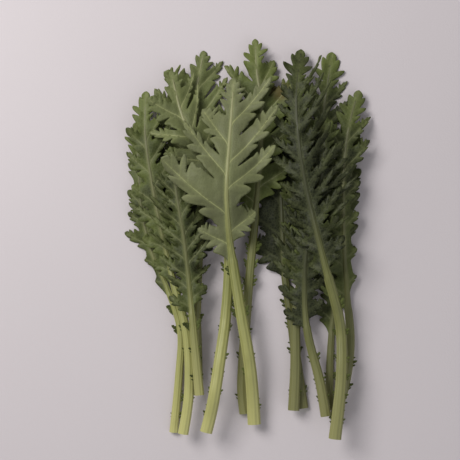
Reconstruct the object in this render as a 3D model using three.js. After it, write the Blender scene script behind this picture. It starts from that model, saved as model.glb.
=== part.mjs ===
// A bunch of salad garland chrysanthemum as it is sold: fourteen cut leafy stems laid in a loose
// fan, cut ends together and leaf tips spread.
//
// Units are millimetres. +Z is up from the surface that the bunch lies on, +Y runs from the cut
// ends to the leaf tips, and the origin is on that surface under the middle of the bunch.
//
// A leafy stem is one sheet in plan: a thick stalk with small ears that thins into the midrib, and
// toothed lobes on both sides of the midrib. Each sheet settles on those laid before it, with a
// little air between, and keeps its own curls.

import * as THREE from "three";

// The cut leafy stems, from the bottom of the pile to the top.
// path: stalk and midrib in plan, from the cut end to the leaf tip
// stalk: width at the cut end
// blade: length of the lobed part, measured back from the tip
// reach: length of the longest side lobe, on the left and on the right
// pairs: side lobes on each side
// lobes: in place of these two, each side lobe's length from the foot up, on the left and the right
// web: share of a lobe that is joined to its neighbour
// curl: how strongly the lobes bend, fold and twist
// rise: height that the leaf tip is lifted by
const LEAFY_STEMS = [
  {
    name: "left_low",
    path: [[-27, -86], [-28, -50], [-31, -20], [-34, 10], [-38, 38], [-43, 60], [-48, 78]],
    stalk: 5, blade: 112, lobes: [[16, 22, 24, 18], [18, 26, 28, 24]], web: 0.6, curl: 0.3, rise: 0,
  },
  {
    name: "middle_low",
    path: [[34, -100.3], [30.5, -76], [27, -50], [23, -20], [21, 20], [19, 55], [16, 88]],
    stalk: 6, blade: 112, lobes: [[20, 26, 27, 25, 18], [20, 28, 30, 28, 21]],
    web: 0.5, curl: 0.5, rise: 0,
  },
  {
    name: "far_right",
    path: [[49, -101], [49.5, -72], [52, -40], [58, -5], [61, 30], [64, 60]],
    stalk: 5, blade: 118, lobes: [[12, 15, 20, 18, 18, 15], [4.5, 5.5, 7, 7.5, 8, 8]],
    web: 0.25, curl: 0.7, rise: 0,
  },
  {
    name: "far_left",
    path: [
      [-41.4, -115.4], [-38.3, -82], [-37.5, -56], [-45.5, -31],
      [-55, -10], [-61, 14], [-63, 40], [-65, 66],
    ],
    stalk: 5, blade: 104, lobes: [[4.5, 5.5, 14, 9.5, 9, 8.5], [11, 14, 20, 22, 18, 18]],
    web: 0.25, curl: 0.7, rise: 1,
  },
  {
    name: "top_left",
    path: [[-28, -93], [-28, -60], [-27, -25], [-26, 10], [-27, 45], [-29, 80], [-25, 109]],
    stalk: 5, blade: 88, lobes: [[20, 29, 30, 25], [20, 27, 27, 20]], web: 0.65, curl: 0.5, rise: 2,
  },
  {
    name: "top_right",
    path: [[28.5, -101], [29.5, -78], [30, -45], [36, -5], [42, 40], [46, 75], [50.5, 107]],
    stalk: 6.5, blade: 136, lobes: [[12, 18, 24, 27, 27, 25, 24], [11, 16, 21, 24, 23, 20, 17]],
    web: 0.42, curl: 0.7, rise: 2,
  },
  {
    name: "right",
    path: [[51.5, -106], [58, -85], [61, -62], [59.5, -38], [57, 0], [57, 35], [60, 62], [66, 84]],
    stalk: 6, blade: 128, lobes: [[13, 20, 20, 22, 25, 20], [5.5, 7.5, 10.5, 12, 19, 18]],
    web: 0.35, curl: 0.6, rise: 2,
  },
  {
    name: "left",
    path: [[-34.9, -115], [-31.5, -90], [-33, -58], [-41, -28], [-48, 0], [-54, 30], [-58, 58], [-58, 84]],
    stalk: 6, blade: 114, reach: [17, 23], pairs: 6, web: 0.3, curl: 0.8, rise: 2,
  },
  {
    name: "top_middle",
    path: [[0, -104], [-1.5, -85], [1, -45], [5, 0], [9, 45], [9.5, 75], [6.5, 97], [5.6, 114.5]],
    stalk: 6, blade: 104, lobes: [[17, 25, 26, 28], [18, 26, 28, 17]], web: 0.55, curl: 0.5, rise: 3,
  },
  {
    name: "right_of_middle",
    path: [[47, -103.5], [43.5, -84], [36, -53], [35, -20], [39, 10], [45, 38], [46, 68]],
    stalk: 6, blade: 122, reach: [24, 24], pairs: 10, web: 0.15, curl: 1.3, rise: 2,
  },
  {
    name: "inner_right",
    path: [
      [51.9, -115.5], [55.5, -82], [55, -52], [48, -24], [41, 4],
      [35, 30], [31, 58], [30, 84], [32.5, 108.5],
    ],
    stalk: 7, blade: 134, reach: [18, 27], pairs: 10, web: 0.15, curl: 1.3, rise: 3,
  },
  {
    name: "left_of_middle",
    path: [[-25, -92], [-28, -62], [-31, -32], [-35, 0], [-39, 25], [-42, 50]],
    stalk: 5.5, blade: 96, reach: [21, 22], pairs: 8, web: 0.15, curl: 1.3, rise: 2,
  },
  {
    name: "upper_left",
    path: [
      [-21.3, -113.3], [-16, -90], [-11, -50], [-9, -10], [-12, 25],
      [-22, 46], [-32, 60], [-38, 74], [-43, 95],
    ],
    stalk: 7, blade: 80, reach: [22, 23], pairs: 4, web: 0.5, curl: 0.5, rise: 2,
  },
  {
    name: "middle",
    path: [
      [5.9, -109.3], [3.5, -75], [-2.5, -40], [-7.5, -8], [-9.4, 20],
      [-8.5, 45], [-7.3, 70], [-6.5, 91],
    ],
    stalk: 7.5, blade: 106, lobes: [[18, 43, 36, 24], [17, 33, 38, 32]], web: 0.46, curl: 0.4, rise: 0,
  },
];

// Stalks and midribs
const STALK_TAPER = 0.25; // share of its width that a stalk loses up to the blade
const RIB_TIP_WIDTH = 1.2; // width of the midrib where the end lobe starts
const RIB_TAPER = 0.35; // power by which the midrib thins: under 1, faster near its foot
const RIB_DEPTH = 0.6; // depth of a stalk as a share of its width
const FLAT = 0.45; // share of a stalk's width that is flat above and below
const EAR_PITCH = 12; // distance between the small ears along a stalk
const EAR_PITCH_VARIES = 0.3;
const EAR_BASE = 3.5; // length of stalk that an ear grows from
const EAR_REACH = [1.3, 4]; // how far an ear stands out, near the cut end and near the blade
const EAR_REACH_VARIES = 0.4;
const EAR_LEAN = 0.5; // how far an ear points forward, as a share of how far it stands out
const EAR_BEND = 0.4; // how far its tip turns up, as a share of the same
const EARS_MISSING = 0.3; // share of the places for an ear that have none

// Lobes
const BLADE_DEPTH = 0.9; // measured straight up through a blade
const VEIN_DEPTH = 1.3; // the same at a lobe's vein
const LEAST_THICKNESS = 0.65; // measured square to a blade, however steep it is
const END_LOBE = 0.18; // share of the blade taken by the lobe at its tip
const LOBE_ANGLE = [64, 30]; // degrees from the midrib, at the foot of the blade and near its tip
const LOBE_ANGLE_VARIES = 3;
const LOBE_SWEEP = 0.16; // how far a lobe bends forward, as a share of its length
const LONGEST_LOBE = 0.6; // where the longest side lobe is, as a share of the blade
const FOOT_LOBE = 0.4; // length of a lobe at the foot, as a share of the longest
const TIP_LOBE = 0.7; // the same next to the end lobe
const LOBE_LENGTH_VARIES = 0.18;
const STATION_VARIES = 0.3; // how far a vein or border is off, as a share of the even spacing
const LEAST_WEB = 3.5; // width of blade left between the midrib and a sinus
const MOST_WEB = 0.45; // share of a lobe that this least width may take
const LONG_LOBE = 14; // length past which a lobe has a third point on its vein
const VEIN_POINTS = { short: [0.38, 0.72], long: [0.3, 0.6, 0.75] }; // shares of the lobe's length
const LOBE_GAP = 0.7; // least gap between two lobes

// Borders between lobes
const FIRST_BORDER_TURN = 15; // degrees that the border before the first lobe is turned back
const LAST_BORDER_ANGLE = [0.8, 1.1]; // the borders beside the end lobe, as shares of a lobe's angle
const LAST_SINUS = 0.6; // its sinus lies as if the end lobe had this share of the last lobe's length

// Teeth
const LEAST_REACH_FOR_TEETH = [5, 9, 16]; // shortest lobes with one, two and three teeth a side
const GIRTH = 0.82; // half width over the teeth at a lobe's foot, as a share of the room it has
const SWELL = 0.18; // how much wider than that it is at the middle
const POINT = 0.9; // half width at a tooth's point, as a share of the half width over the teeth
const NOTCH = 0.42; // the same at the notch after it
const TOOTH_AT = 0.9; // where a tooth's point is, as a share of its stretch of the lobe's length
const NOTCH_AT = 0.66; // the same for the notch after it, further back because teeth point forward

// Bends of a lobe with a curl of 1
const ROLL = 0.35; // height of the tip over the foot, as a share of the lobe's length
const FOLD = 0.5; // slope of the sides up from the vein
const CREASE = 0.1; // slope of the sides up from the vein in every lobe, whatever its curl
const TWIST = 0.8; // slope across the tip
const SINUS_BEND = 0.12; // height of a sinus, as a share of its distance from the midrib

// How the sheets lie on each other
const AIR = 0.45; // least height between one sheet and the next
const CELL = 1; // spacing of the grid that holds the height of the pile
const DRAPE = 4; // how far a sheet bridges from one high spot to the next
const STIFF = 14; // the same along a stalk
const DROOP = 0.7; // share of the fall to what lies below that a lobe's tip takes
const STEEPEST = 1; // steepest slope that settling leaves, where it can
const STEEPEST_FALL = 0.5; // slope that a drooping lobe doesn't pass
const SETTLING_PASSES = 300;
const LEAST_AREA = 0.15; // of a triangle that fills a strip, in plan

const LEAF_GREEN = new THREE.MeshStandardMaterial({ color: 0x55702f, roughness: 0.55, metalness: 0 });

const LEFT = 1;
const RIGHT = -1;
const RIB_STRIPS = [["left", "innerLeft"], ["innerLeft", "innerRight"], ["innerRight", "right"]];
const { lerp, clamp, degToRad } = THREE.MathUtils;

// A repeatable number from -1 to 1 for each stem and use.
function vary(stemNumber, use) {
  const wave = Math.sin(stemNumber * 12.9898 + use * 78.233) * 43758.5453;
  return 2 * (wave - Math.floor(wave)) - 1;
}

// Twice the area of a triangle in plan, positive where it runs anticlockwise.
function doubleArea(a, b, c) {
  return (b.x - a.x) * (c.y - a.y) - (c.x - a.x) * (b.y - a.y);
}

// The height of the leaves that already lie, on a square grid.
class Pile {
  constructor(reachX = 100, reachY = 135) {
    this.nx = 2 * Math.ceil(reachX / CELL) + 1;
    this.ny = 2 * Math.ceil(reachY / CELL) + 1;
    this.originX = -CELL * ((this.nx - 1) / 2);
    this.originY = -CELL * ((this.ny - 1) / 2);
    this.top = new Float64Array(this.nx * this.ny);
  }

  // Calls use(node) for the grid's four nodes round a point.
  around(x, y, use) {
    const node = Math.floor((y - this.originY) / CELL) * this.nx + Math.floor((x - this.originX) / CELL);
    [node, node + 1, node + this.nx, node + this.nx + 1].forEach(use);
  }

  highest(heights, x, y) {
    let most = 0;
    this.around(x, y, (node) => {
      most = Math.max(most, heights[node]);
    });
    return most;
  }

  // The heights spread over a square of nodes, along the rows and then along the columns.
  spread(heights, nodes, pick) {
    const rows = this.spreadLines(heights, nodes, pick, this.nx, 1, this.ny, this.nx);
    return this.spreadLines(rows, nodes, pick, this.ny, this.nx, this.nx, 1);
  }

  // pick(value, next, count) takes up each of count neighbours in turn, for instance their largest.
  spreadLines(from, nodes, pick, count, stride, lines, lineStride) {
    const to = new Float64Array(from.length);
    for (let line = 0; line < lines; line++) {
      const start = line * lineStride;
      for (let i = 0; i < count; i++) {
        const low = Math.max(0, i - nodes);
        const high = Math.min(count - 1, i + nodes);
        let value = 0;
        for (let k = low; k <= high; k++) {
          value = pick(value, from[start + k * stride], high - low + 1);
        }
        to[start + i * stride] = value;
      }
    }
    return to;
  }

  // Heights that something lying on the pile clears: each covered node and its neighbours.
  clearance() {
    return this.spread(this.top, 1, (most, height) => Math.max(most, height > 0 ? height + AIR : 0));
  }

  // A smooth cover over the pile, nowhere under it.
  cover(reach) {
    const nodes = Math.round(reach / CELL);
    const raised = this.spread(this.clearance(), nodes, (most, height) => Math.max(most, height));
    return this.spread(raised, nodes, (mean, height, count) => mean + height / count);
  }

  // Calls use(node, shares) for each grid node inside a triangle, with each corner's share in it.
  inside([a, b, c], use) {
    const area = doubleArea(a, b, c);
    const [west, east] = [Math.min(a.x, b.x, c.x), Math.max(a.x, b.x, c.x)];
    const [south, north] = [Math.min(a.y, b.y, c.y), Math.max(a.y, b.y, c.y)];
    for (let j = Math.ceil((south - this.originY) / CELL); j * CELL + this.originY <= north; j++) {
      for (let i = Math.ceil((west - this.originX) / CELL); i * CELL + this.originX <= east; i++) {
        const at = { x: this.originX + i * CELL, y: this.originY + j * CELL };
        const shareB = doubleArea(a, at, c) / area;
        const shareC = doubleArea(a, b, at) / area;
        const shareA = 1 - shareB - shareC;
        if (Math.min(shareA, shareB, shareC) >= 0) use(j * this.nx + i, [shareA, shareB, shareC]);
      }
    }
  }

  // Calls use(x, y, shares) at steps along a triangle's edges, its corners included.
  edges(corners, use) {
    for (let k = 0; k < 3; k++) {
      const from = corners[k];
      const to = corners[(k + 1) % 3];
      const steps = Math.max(1, Math.ceil(Math.hypot(to.x - from.x, to.y - from.y) / CELL));
      for (let step = 0; step < steps; step++) {
        const shares = [0, 0, 0];
        shares[k] = 1 - step / steps;
        shares[(k + 1) % 3] = step / steps;
        use(lerp(from.x, to.x, step / steps), lerp(from.y, to.y, step / steps), shares);
      }
    }
  }

  add(sheet) {
    for (const corners of sheet.corners()) {
      const height = (shares) => shares.reduce((sum, share, k) => sum + share * topOf(corners[k]), 0);
      const raise = (node, shares) => {
        this.top[node] = Math.max(this.top[node], height(shares));
      };
      this.inside(corners, raise);
      this.edges(corners, (x, y, shares) => {
        this.around(x, y, (node) => raise(node, shares));
      });
    }
  }

  // Lifts a triangle's corners until its underside clears the pile where it is deepest in it.
  lift(corners, clear) {
    let need = 0;
    let at = [];
    const measure = (floor, shares) => {
      const depth = floor - shares.reduce((sum, share, k) => sum + share * undersideOf(corners[k]), 0);
      if (depth > need) [need, at] = [depth, shares];
    };
    this.inside(corners, (node, shares) => measure(clear[node], shares));
    this.edges(corners, (x, y, shares) => measure(this.highest(clear, x, y), shares));
    if (need < 1e-6) return false;
    const spread = at.reduce((sum, share) => sum + share * share, 0);
    corners.forEach((p, k) => {
      p.z += need * at[k] / spread;
    });
    return true;
  }
}

function topOf(point) {
  return point.z + point.half;
}

function undersideOf(point) {
  return point.z - point.half;
}

// A sheet in plan. Each point has a middle height z, and half the sheet's depth above and below it.
class Sheet {
  constructor() {
    this.points = [];
    this.triangles = [];
  }

  // foot: the station of the rib that the point grows from. out: its distance from there.
  // bend: its height over a flat sheet. depth: the sheet's depth there.
  point(x, y, { foot, out = 0, bend = 0, depth = BLADE_DEPTH }) {
    this.points.push({ x, y, z: 0, half: depth / 2, foot, out, bend });
    return this.points.length - 1;
  }

  // Adds a triangle that faces up, unless two of its corners are one point.
  triangle(a, b, c) {
    if (a === b || b === c || a === c) return;
    const area = doubleArea(this.points[a], this.points[b], this.points[c]);
    this.triangles.push(area > 0 ? [a, b, c] : [a, c, b]);
  }

  // Fills the strip between two rows of points, by the shortest crossing edges that don't fold it.
  // The far row lies to the left of the near row for side = 1, and to its right for side = -1.
  zip(near, far, side) {
    const unfolded = (a, b, c) => {
      return a === c || side * doubleArea(this.points[a], this.points[b], this.points[c]) > 2 * LEAST_AREA;
    };
    const best = near.map(() => far.map(() => ({ cost: Infinity })));
    best[0][0].cost = 0;
    const offer = (i, j, from, triangle) => {
      if (!unfolded(...triangle)) return;
      const [p, q] = [this.points[near[i]], this.points[far[j]]];
      const cost = from.cost + Math.hypot(p.x - q.x, p.y - q.y);
      if (cost < best[i][j].cost) best[i][j] = { cost, from, triangle };
    };
    for (let i = 0; i < near.length; i++) {
      for (let j = 0; j < far.length; j++) {
        if (i > 0) offer(i, j, best[i - 1][j], [near[i - 1], near[i], far[j]]);
        if (j > 0) offer(i, j, best[i][j - 1], [near[i], far[j], far[j - 1]]);
      }
    }
    let step = best.at(-1).at(-1);
    if (step.cost === Infinity) throw new Error(`the strip from point ${near[0]} can't be filled`);
    for (; step.from; step = step.from) {
      this.triangle(...step.triangle);
    }
  }

  corners() {
    return this.triangles.map((triangle) => triangle.map((n) => this.points[n]));
  }

  // Each edge as "from to", once for each triangle that has it.
  edges() {
    const edges = new Set();
    for (const [a, b, c] of this.triangles) {
      for (const edge of [`${a} ${b}`, `${b} ${c}`, `${c} ${a}`]) {
        if (edges.has(edge)) throw new Error(`two triangles lie on the same side of edge ${edge}`);
        edges.add(edge);
      }
    }
    return edges;
  }

  // The closed solid: the sheet's top, its underside, and a wall round its outline.
  geometry() {
    const above = this.points.map((p) => [p.x, p.y, topOf(p)]);
    const below = this.points.map((p) => [p.x, p.y, undersideOf(p)]);
    const faces = [];
    for (const [a, b, c] of this.triangles) {
      faces.push(above[a], above[b], above[c], below[a], below[c], below[b]);
    }
    const edges = this.edges();
    for (const edge of edges) {
      const [a, b] = edge.split(" ").map(Number);
      if (edges.has(`${b} ${a}`)) continue;
      faces.push(above[a], below[a], below[b], above[a], below[b], above[b]);
    }
    return new THREE.BufferGeometry()
      .setAttribute("position", new THREE.Float32BufferAttribute(faces.flat(), 3));
  }
}

// A way out from the midrib that bends forward as it goes.
class Way {
  constructor(root, heading, bend) {
    Object.assign(this, { root: new THREE.Vector2(root.x, root.y), heading, bend });
  }

  at(distance) {
    const straight = this.root.clone().addScaledVector(this.heading, distance);
    return straight.addScaledVector(this.bend, distance ** 2);
  }

  // Distance to this way from a point, straight in one direction, but no more than most.
  room(from, direction, most, step = 4, steps = 20) {
    let least = most;
    for (let k = 0; k < steps; k++) {
      const a = this.at(k * step).sub(from);
      const b = this.at((k + 1) * step).sub(from);
      const [sideA, sideB] = [direction.cross(a), direction.cross(b)];
      if (sideA * sideB > 0) continue;
      const distance = lerp(direction.dot(a), direction.dot(b), sideA / (sideA - sideB));
      if (distance > 0) least = Math.min(least, distance);
    }
    return least;
  }
}

function turned(direction, degrees) {
  return direction.clone().rotateAround(new THREE.Vector2(), degToRad(degrees));
}

// Places along a stalk and midrib, as distances from the cut end: those of the ears, then those
// that the lobes and the borders between them grow from.
function stationsOf(stem, length, pairs) {
  const blade0 = length - stem.blade;
  const ribEnd = length - END_LOBE * stem.blade;
  const places = [0];
  const ears = [];
  let s = 0.7 * EAR_PITCH;
  while (s + EAR_BASE < blade0 - EAR_BASE) {
    ears.push(places.length);
    places.push(s, s + EAR_BASE);
    s += EAR_PITCH * (1 + EAR_PITCH_VARIES * vary(stem.stalk, s));
  }
  const first = places.length;
  const last = first + 2 * pairs + 1;
  for (let j = first; j <= last; j++) {
    const off = j > first && j < last ? STATION_VARIES * vary(stem.number, 1000 + j - first) : 0;
    places.push(lerp(blade0, ribEnd, (j - first + off) / (last - first)));
  }
  return { places, ears, first, last, blade0 };
}

// The stalk and midrib: four points across each station, the outer two as thin as the blade. A
// station's u runs from 0 at the foot of the blade to 1 at the leaf's tip.
function buildRib(sheet, stem, path, pairs) {
  const length = path.getLength();
  const { places, ears, first, last, blade0 } = stationsOf(stem, length, pairs);
  const stations = places.map((s, index) => {
    const at = path.getPointAt(s / length);
    const along = path.getTangentAt(s / length);
    const across = turned(along, 90);
    const u = clamp((s - blade0) / (length - blade0), 0, 1);
    const stalk = stem.stalk * (1 - STALK_TAPER * Math.min(s / blade0, 1));
    const width = lerp(stalk, RIB_TIP_WIDTH, u ** RIB_TAPER);
    const depth = Math.max(RIB_DEPTH * width, VEIN_DEPTH);
    const [left, innerLeft, innerRight, right] = [1, FLAT, -FLAT, -1].map((share) => {
      const { x, y } = at.clone().addScaledVector(across, share * width / 2);
      return sheet.point(x, y, { foot: index, depth: Math.abs(share) === 1 ? BLADE_DEPTH : depth });
    });
    return { s, u, at, along, across, left, innerLeft, innerRight, right };
  });
  stations.slice(1).forEach((b, k) => {
    const a = stations[k];
    for (const [p, q] of RIB_STRIPS) {
      sheet.triangle(a[p], a[q], b[p]);
      sheet.triangle(a[q], b[q], b[p]);
    }
  });
  return { stations, ears, first, last, blade0 };
}

// The small ears on the stalk point forward and turn up at their tips.
function addEars(sheet, { stations, ears, blade0 }, number) {
  for (const k of ears) {
    for (const [side, edge] of [[LEFT, "left"], [RIGHT, "right"]]) {
      if (vary(number, k + side) < 2 * EARS_MISSING - 1) continue;
      const { across, along, s } = stations[k + 1];
      const size = 1 + EAR_REACH_VARIES * vary(number, k + 5 * side);
      const reach = lerp(...EAR_REACH, (s / blade0) ** 2) * size;
      const root = sheet.points[stations[k + 1][edge]];
      const x = root.x + reach * (side * across.x + EAR_LEAN * along.x);
      const y = root.y + reach * (side * across.y + EAR_LEAN * along.y);
      const tip = sheet.point(x, y, { foot: k + 1, out: reach, bend: EAR_BEND * reach });
      sheet.triangle(stations[k][edge], tip, stations[k + 1][edge]);
    }
  }
}

// The side lobes' lengths on one side, from the foot up: short at first, longest past the middle.
function lobeReaches(longest, pairs, number, key) {
  return Array.from({ length: pairs }, (_, k) => {
    const u = (k + 0.6) / (pairs + 0.2);
    const rise = Math.sin((Math.PI / 2) * Math.min(u / LONGEST_LOBE, 1));
    const fall = Math.max(u - LONGEST_LOBE, 0) / (1 - LONGEST_LOBE);
    const share = lerp(FOOT_LOBE, 1, rise) - (1 - TIP_LOBE) * fall ** 2;
    return longest * share * (1 + LOBE_LENGTH_VARIES * vary(number, key + k));
  });
}

// The row of teeth down one side of a lobe, as [place along the lobe, share of the half width].
function teethOf(count, start) {
  const row = [];
  for (let k = 0; k < count; k++) {
    const f = (k + TOOTH_AT) / (count + 0.5);
    const girth = (GIRTH + SWELL * Math.sin(Math.PI * f)) * (1 - f ** 4);
    for (const [place, width] of [[k + TOOTH_AT, POINT], [k + NOTCH_AT, NOTCH]]) {
      row.push([lerp(start, 1, place / (count + 0.5)), girth * width]);
    }
  }
  return row;
}

// One lobe, with a vein down its middle and teeth on both sides. Each side has the row of rib
// points it grows from, its sinus, and the border that it keeps clear of.
function addLobe(sheet, { foot, vein, lateral, reach, curls, sides }) {
  const [roll, fold, twist] = curls;
  const place = (v, w, depth = BLADE_DEPTH) => {
    const { x, y } = vein.at(v * reach).addScaledVector(lateral, w);
    const tipBend = ROLL * roll * reach * v * v;
    const sideBend = (FOLD * fold + CREASE) * Math.abs(w) + TWIST * twist * w * v;
    return sheet.point(x, y, { foot, out: v * reach, bend: tipBend + sideBend, depth });
  };
  const tip = place(1, 0);
  const alongVein = reach > LONG_LOBE ? VEIN_POINTS.long : VEIN_POINTS.short;
  const inner = alongVein.map((v) => place(v, 0, lerp(VEIN_DEPTH, BLADE_DEPTH, v)));
  const teeth = LEAST_REACH_FOR_TEETH.filter((least) => reach > least).length;
  for (const { row, sinus, border, side, turn } of sides) {
    const corner = sheet.points[sinus];
    const out = new THREE.Vector2(corner.x, corner.y).sub(vein.root).dot(vein.heading);
    const outline = teethOf(teeth, clamp(out / reach, 0.05, 0.7)).map(([v, share]) => {
      const room = border.room(vein.at(v * reach), lateral.clone().multiplyScalar(side), reach / 2);
      return place(v, side * share * Math.max(room - LOBE_GAP / 2, 0.4));
    });
    sheet.zip([...row, ...inner], [sinus, ...outline, tip], turn);
  }
}

// The lobes of one side, with the borders between them. Gives the last border, which the end lobe
// shares with them.
function addSideLobes(sheet, { stations, first }, { side, edge, shift, reaches }, stem, curls) {
  const pairs = reaches.length;
  const sweep = LOBE_SWEEP / Math.max(...reaches);
  const wayFrom = (station, narrowing, degrees) => {
    const { along, u } = stations[station];
    const heading = turned(along, side * (lerp(...LOBE_ANGLE, u) * narrowing + degrees));
    return new Way(sheet.points[stations[station][edge]], heading, along.clone().multiplyScalar(sweep));
  };
  const lobes = reaches.map((reach, k) => {
    const middle = first + shift + 2 * k + 1;
    const key = 10 * (middle - first) + (side === LEFT ? 300 : 600);
    const vein = wayFrom(middle, 1, LOBE_ANGLE_VARIES * vary(stem.number, key + 6));
    return { middle, key, vein, reach };
  });
  // Borders lie between lobes, before the first one and after the last one. A sinus lies out on
  // the web along its border, or on the rib itself before the first lobe.
  const borders = Array.from({ length: pairs + 1 }, (_, k) => {
    const station = first + shift + 2 * k;
    const narrowing = k < pairs ? 1 : LAST_BORDER_ANGLE[shift];
    const way = wayFrom(station, narrowing, k === 0 ? FIRST_BORDER_TURN : 0);
    if (k === 0) return { way, sinus: stations[station][edge] };
    const next = k < pairs ? lobes[k].reach : LAST_SINUS * lobes[k - 1].reach;
    const shorter = Math.min(lobes[k - 1].reach, next);
    const out = Math.max(stem.web, Math.min(LEAST_WEB / shorter, MOST_WEB)) * shorter;
    const { x, y } = way.at(out);
    const bend = SINUS_BEND * curls(10 * k + side)[0] * out;
    return { way, sinus: sheet.point(x, y, { foot: station, out, bend }) };
  });
  lobes.forEach(({ middle, key, vein, reach }, k) => {
    const root = stations[middle][edge];
    const nearSide = { row: [stations[middle - 1][edge], root], side: -1, turn: side };
    const farSide = { row: [stations[middle + 1][edge], root], side: 1, turn: -side };
    addLobe(sheet, {
      foot: middle,
      vein,
      lateral: turned(vein.heading, -90 * side),
      reach,
      curls: curls(key),
      sides: [
        { ...nearSide, sinus: borders[k].sinus, border: borders[k].way },
        { ...farSide, sinus: borders[k + 1].sinus, border: borders[k + 1].way },
      ],
    });
  });
  return { sinus: borders[pairs].sinus, border: borders[pairs].way };
}

// The end lobe carries on along the midrib. It grows from the whole end of it, and on the left from
// the station below as well, because the left side's lobes end one station short of the right side's.
function addEndLobe(sheet, { stations, last }, path, stem, curls, [leftSide, rightSide]) {
  const end = stations[last];
  const heading = path.getPointAt(1).sub(end.at).normalize();
  const vein = new Way(end.at.clone().add(heading), heading, new THREE.Vector2());
  const root = sheet.point(vein.root.x, vein.root.y, { foot: last, depth: VEIN_DEPTH });
  for (const [p, q] of RIB_STRIPS) {
    sheet.triangle(end[p], end[q], root);
  }
  addLobe(sheet, {
    foot: last,
    vein,
    lateral: turned(heading, -90),
    reach: END_LOBE * stem.blade - 1,
    curls: curls(900),
    sides: [
      { ...leftSide, row: [stations[last - 1].left, end.left, root], side: -LEFT, turn: LEFT },
      { ...rightSide, row: [end.right, root], side: -RIGHT, turn: RIGHT },
    ],
  });
}

function buildSheet(stem) {
  const sheet = new Sheet();
  const path = new THREE.SplineCurve(stem.path.map(([x, y]) => new THREE.Vector2(x, y)));
  const [left, right] = stem.lobes
    ?? stem.reach.map((longest, side) => lobeReaches(longest, stem.pairs, stem.number, 40 * (side + 1)));
  const curls = (use) => [0, 1, 2].map((n) => stem.curl * vary(stem.number, use + n));
  const rib = buildRib(sheet, stem, path, left.length);
  addEars(sheet, rib, stem.number);
  // The right side's lobes stand half a step further along than the left side's.
  const sides = [
    { side: LEFT, edge: "left", shift: 0, reaches: left },
    { side: RIGHT, edge: "right", shift: 1, reaches: right },
  ];
  const endSides = sides.map((side) => addSideLobes(sheet, rib, side, stem, curls));
  addEndLobe(sheet, rib, path, stem, curls, endSides);
  return { sheet, stations: rib.stations };
}

// How much a triangle's slope changes for each unit that each of its corners is lifted.
function pullsOf(corners) {
  const area = doubleArea(...corners);
  return corners.map((p, k) => {
    const [q, r] = [corners[(k + 1) % 3], corners[(k + 2) % 3]];
    return new THREE.Vector2(q.y - r.y, r.x - q.x).divideScalar(area);
  });
}

function slopeOf(pulls, heights) {
  return pulls.reduce((slope, pull, k) => slope.addScaledVector(pull, heights[k]), new THREE.Vector2());
}

// Eases a triangle that is too steep: of its two lower corners, lifts the one that levels it more.
function ease(corners) {
  const pulls = pullsOf(corners);
  const slope = slopeOf(pulls, corners.map((p) => p.z));
  const steepness = slope.length();
  if (steepness <= STEEPEST) return false;
  const highest = Math.max(...corners.map((p) => p.z));
  const gains = corners.map((p, k) => (p.z < highest ? -slope.dot(pulls[k]) / steepness : 0));
  const gain = Math.max(...gains);
  if (gain <= 0) return false;
  const low = corners[gains.indexOf(gain)];
  const aim = 0.97 * STEEPEST;
  const height = Math.min(low.z + (steepness - aim) / gain, highest);
  if (height - low.z < 0.01) return false;
  low.z = height;
  return true;
}

// Makes a triangle that stays steep deep enough to be thick, upwards only.
function thicken(corners) {
  const steepness = slopeOf(pullsOf(corners), corners.map(undersideOf)).length();
  const half = LEAST_THICKNESS * Math.hypot(1, steepness) / 2;
  for (const p of corners) {
    const more = Math.max(half - p.half, 0);
    p.half += more;
    p.z += more;
  }
}

// Heights of the stalk and midrib, stiff enough to bridge from one high spot to the next.
function ribHeights(sheet, stations, stem, pile, cover) {
  const under = stations.map(({ left, innerLeft, innerRight, right }) => {
    const points = [left, innerLeft, innerRight, right].map((n) => sheet.points[n]);
    return sheet.points[innerLeft].half + Math.max(...points.map((p) => pile.highest(cover, p.x, p.y)));
  });
  const near = ({ s }) => stations.flatMap((other, k) => (Math.abs(other.s - s) <= STIFF ? [k] : []));
  const raised = stations.map((station) => Math.max(...near(station).map((k) => under[k])));
  return stations.map((station, index) => {
    const around = near(station);
    const mean = around.reduce((sum, k) => sum + raised[k], 0) / around.length;
    return Math.max(mean, under[index]) + stem.rise * station.u ** 2;
  });
}

// Gives each point its height: the stalk and midrib bridge the pile, the lobes droop from them,
// and what is still in the pile is lifted out of it.
function settle({ sheet, stations }, stem, pile) {
  const cover = pile.cover(DRAPE);
  const rib = ribHeights(sheet, stations, stem, pile, cover);
  for (const p of sheet.points) {
    const lying = pile.highest(cover, p.x, p.y) + p.half;
    const fall = Math.min(Math.max(rib[p.foot] - lying, 0), STEEPEST_FALL * p.out);
    p.z = Math.max(rib[p.foot] - DROOP * fall + p.bend, p.half);
  }
  const clear = pile.clearance();
  const triangles = sheet.corners();
  let moved = true;
  for (let pass = 0; moved && pass < SETTLING_PASSES; pass++) {
    moved = false;
    for (const corners of triangles) {
      const lifted = pile.lift(corners, clear);
      const eased = ease(corners);
      moved = moved || lifted || eased;
    }
  }
  triangles.forEach(thicken);
  pile.add(sheet);
  return sheet;
}

const bunch = new THREE.Group();
const pile = new Pile();
LEAFY_STEMS.forEach((row, index) => {
  const stem = { ...row, number: index };
  const mesh = new THREE.Mesh(settle(buildSheet(stem), stem, pile).geometry(), LEAF_GREEN);
  mesh.name = `leafy_stem_${stem.name}`;
  bunch.add(mesh);
});

// Puts the origin under the middle of the bunch.
const middle = new THREE.Box3().setFromObject(bunch).getCenter(new THREE.Vector3());
bunch.position.set(-middle.x, -middle.y, 0);

export default bunch;
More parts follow.
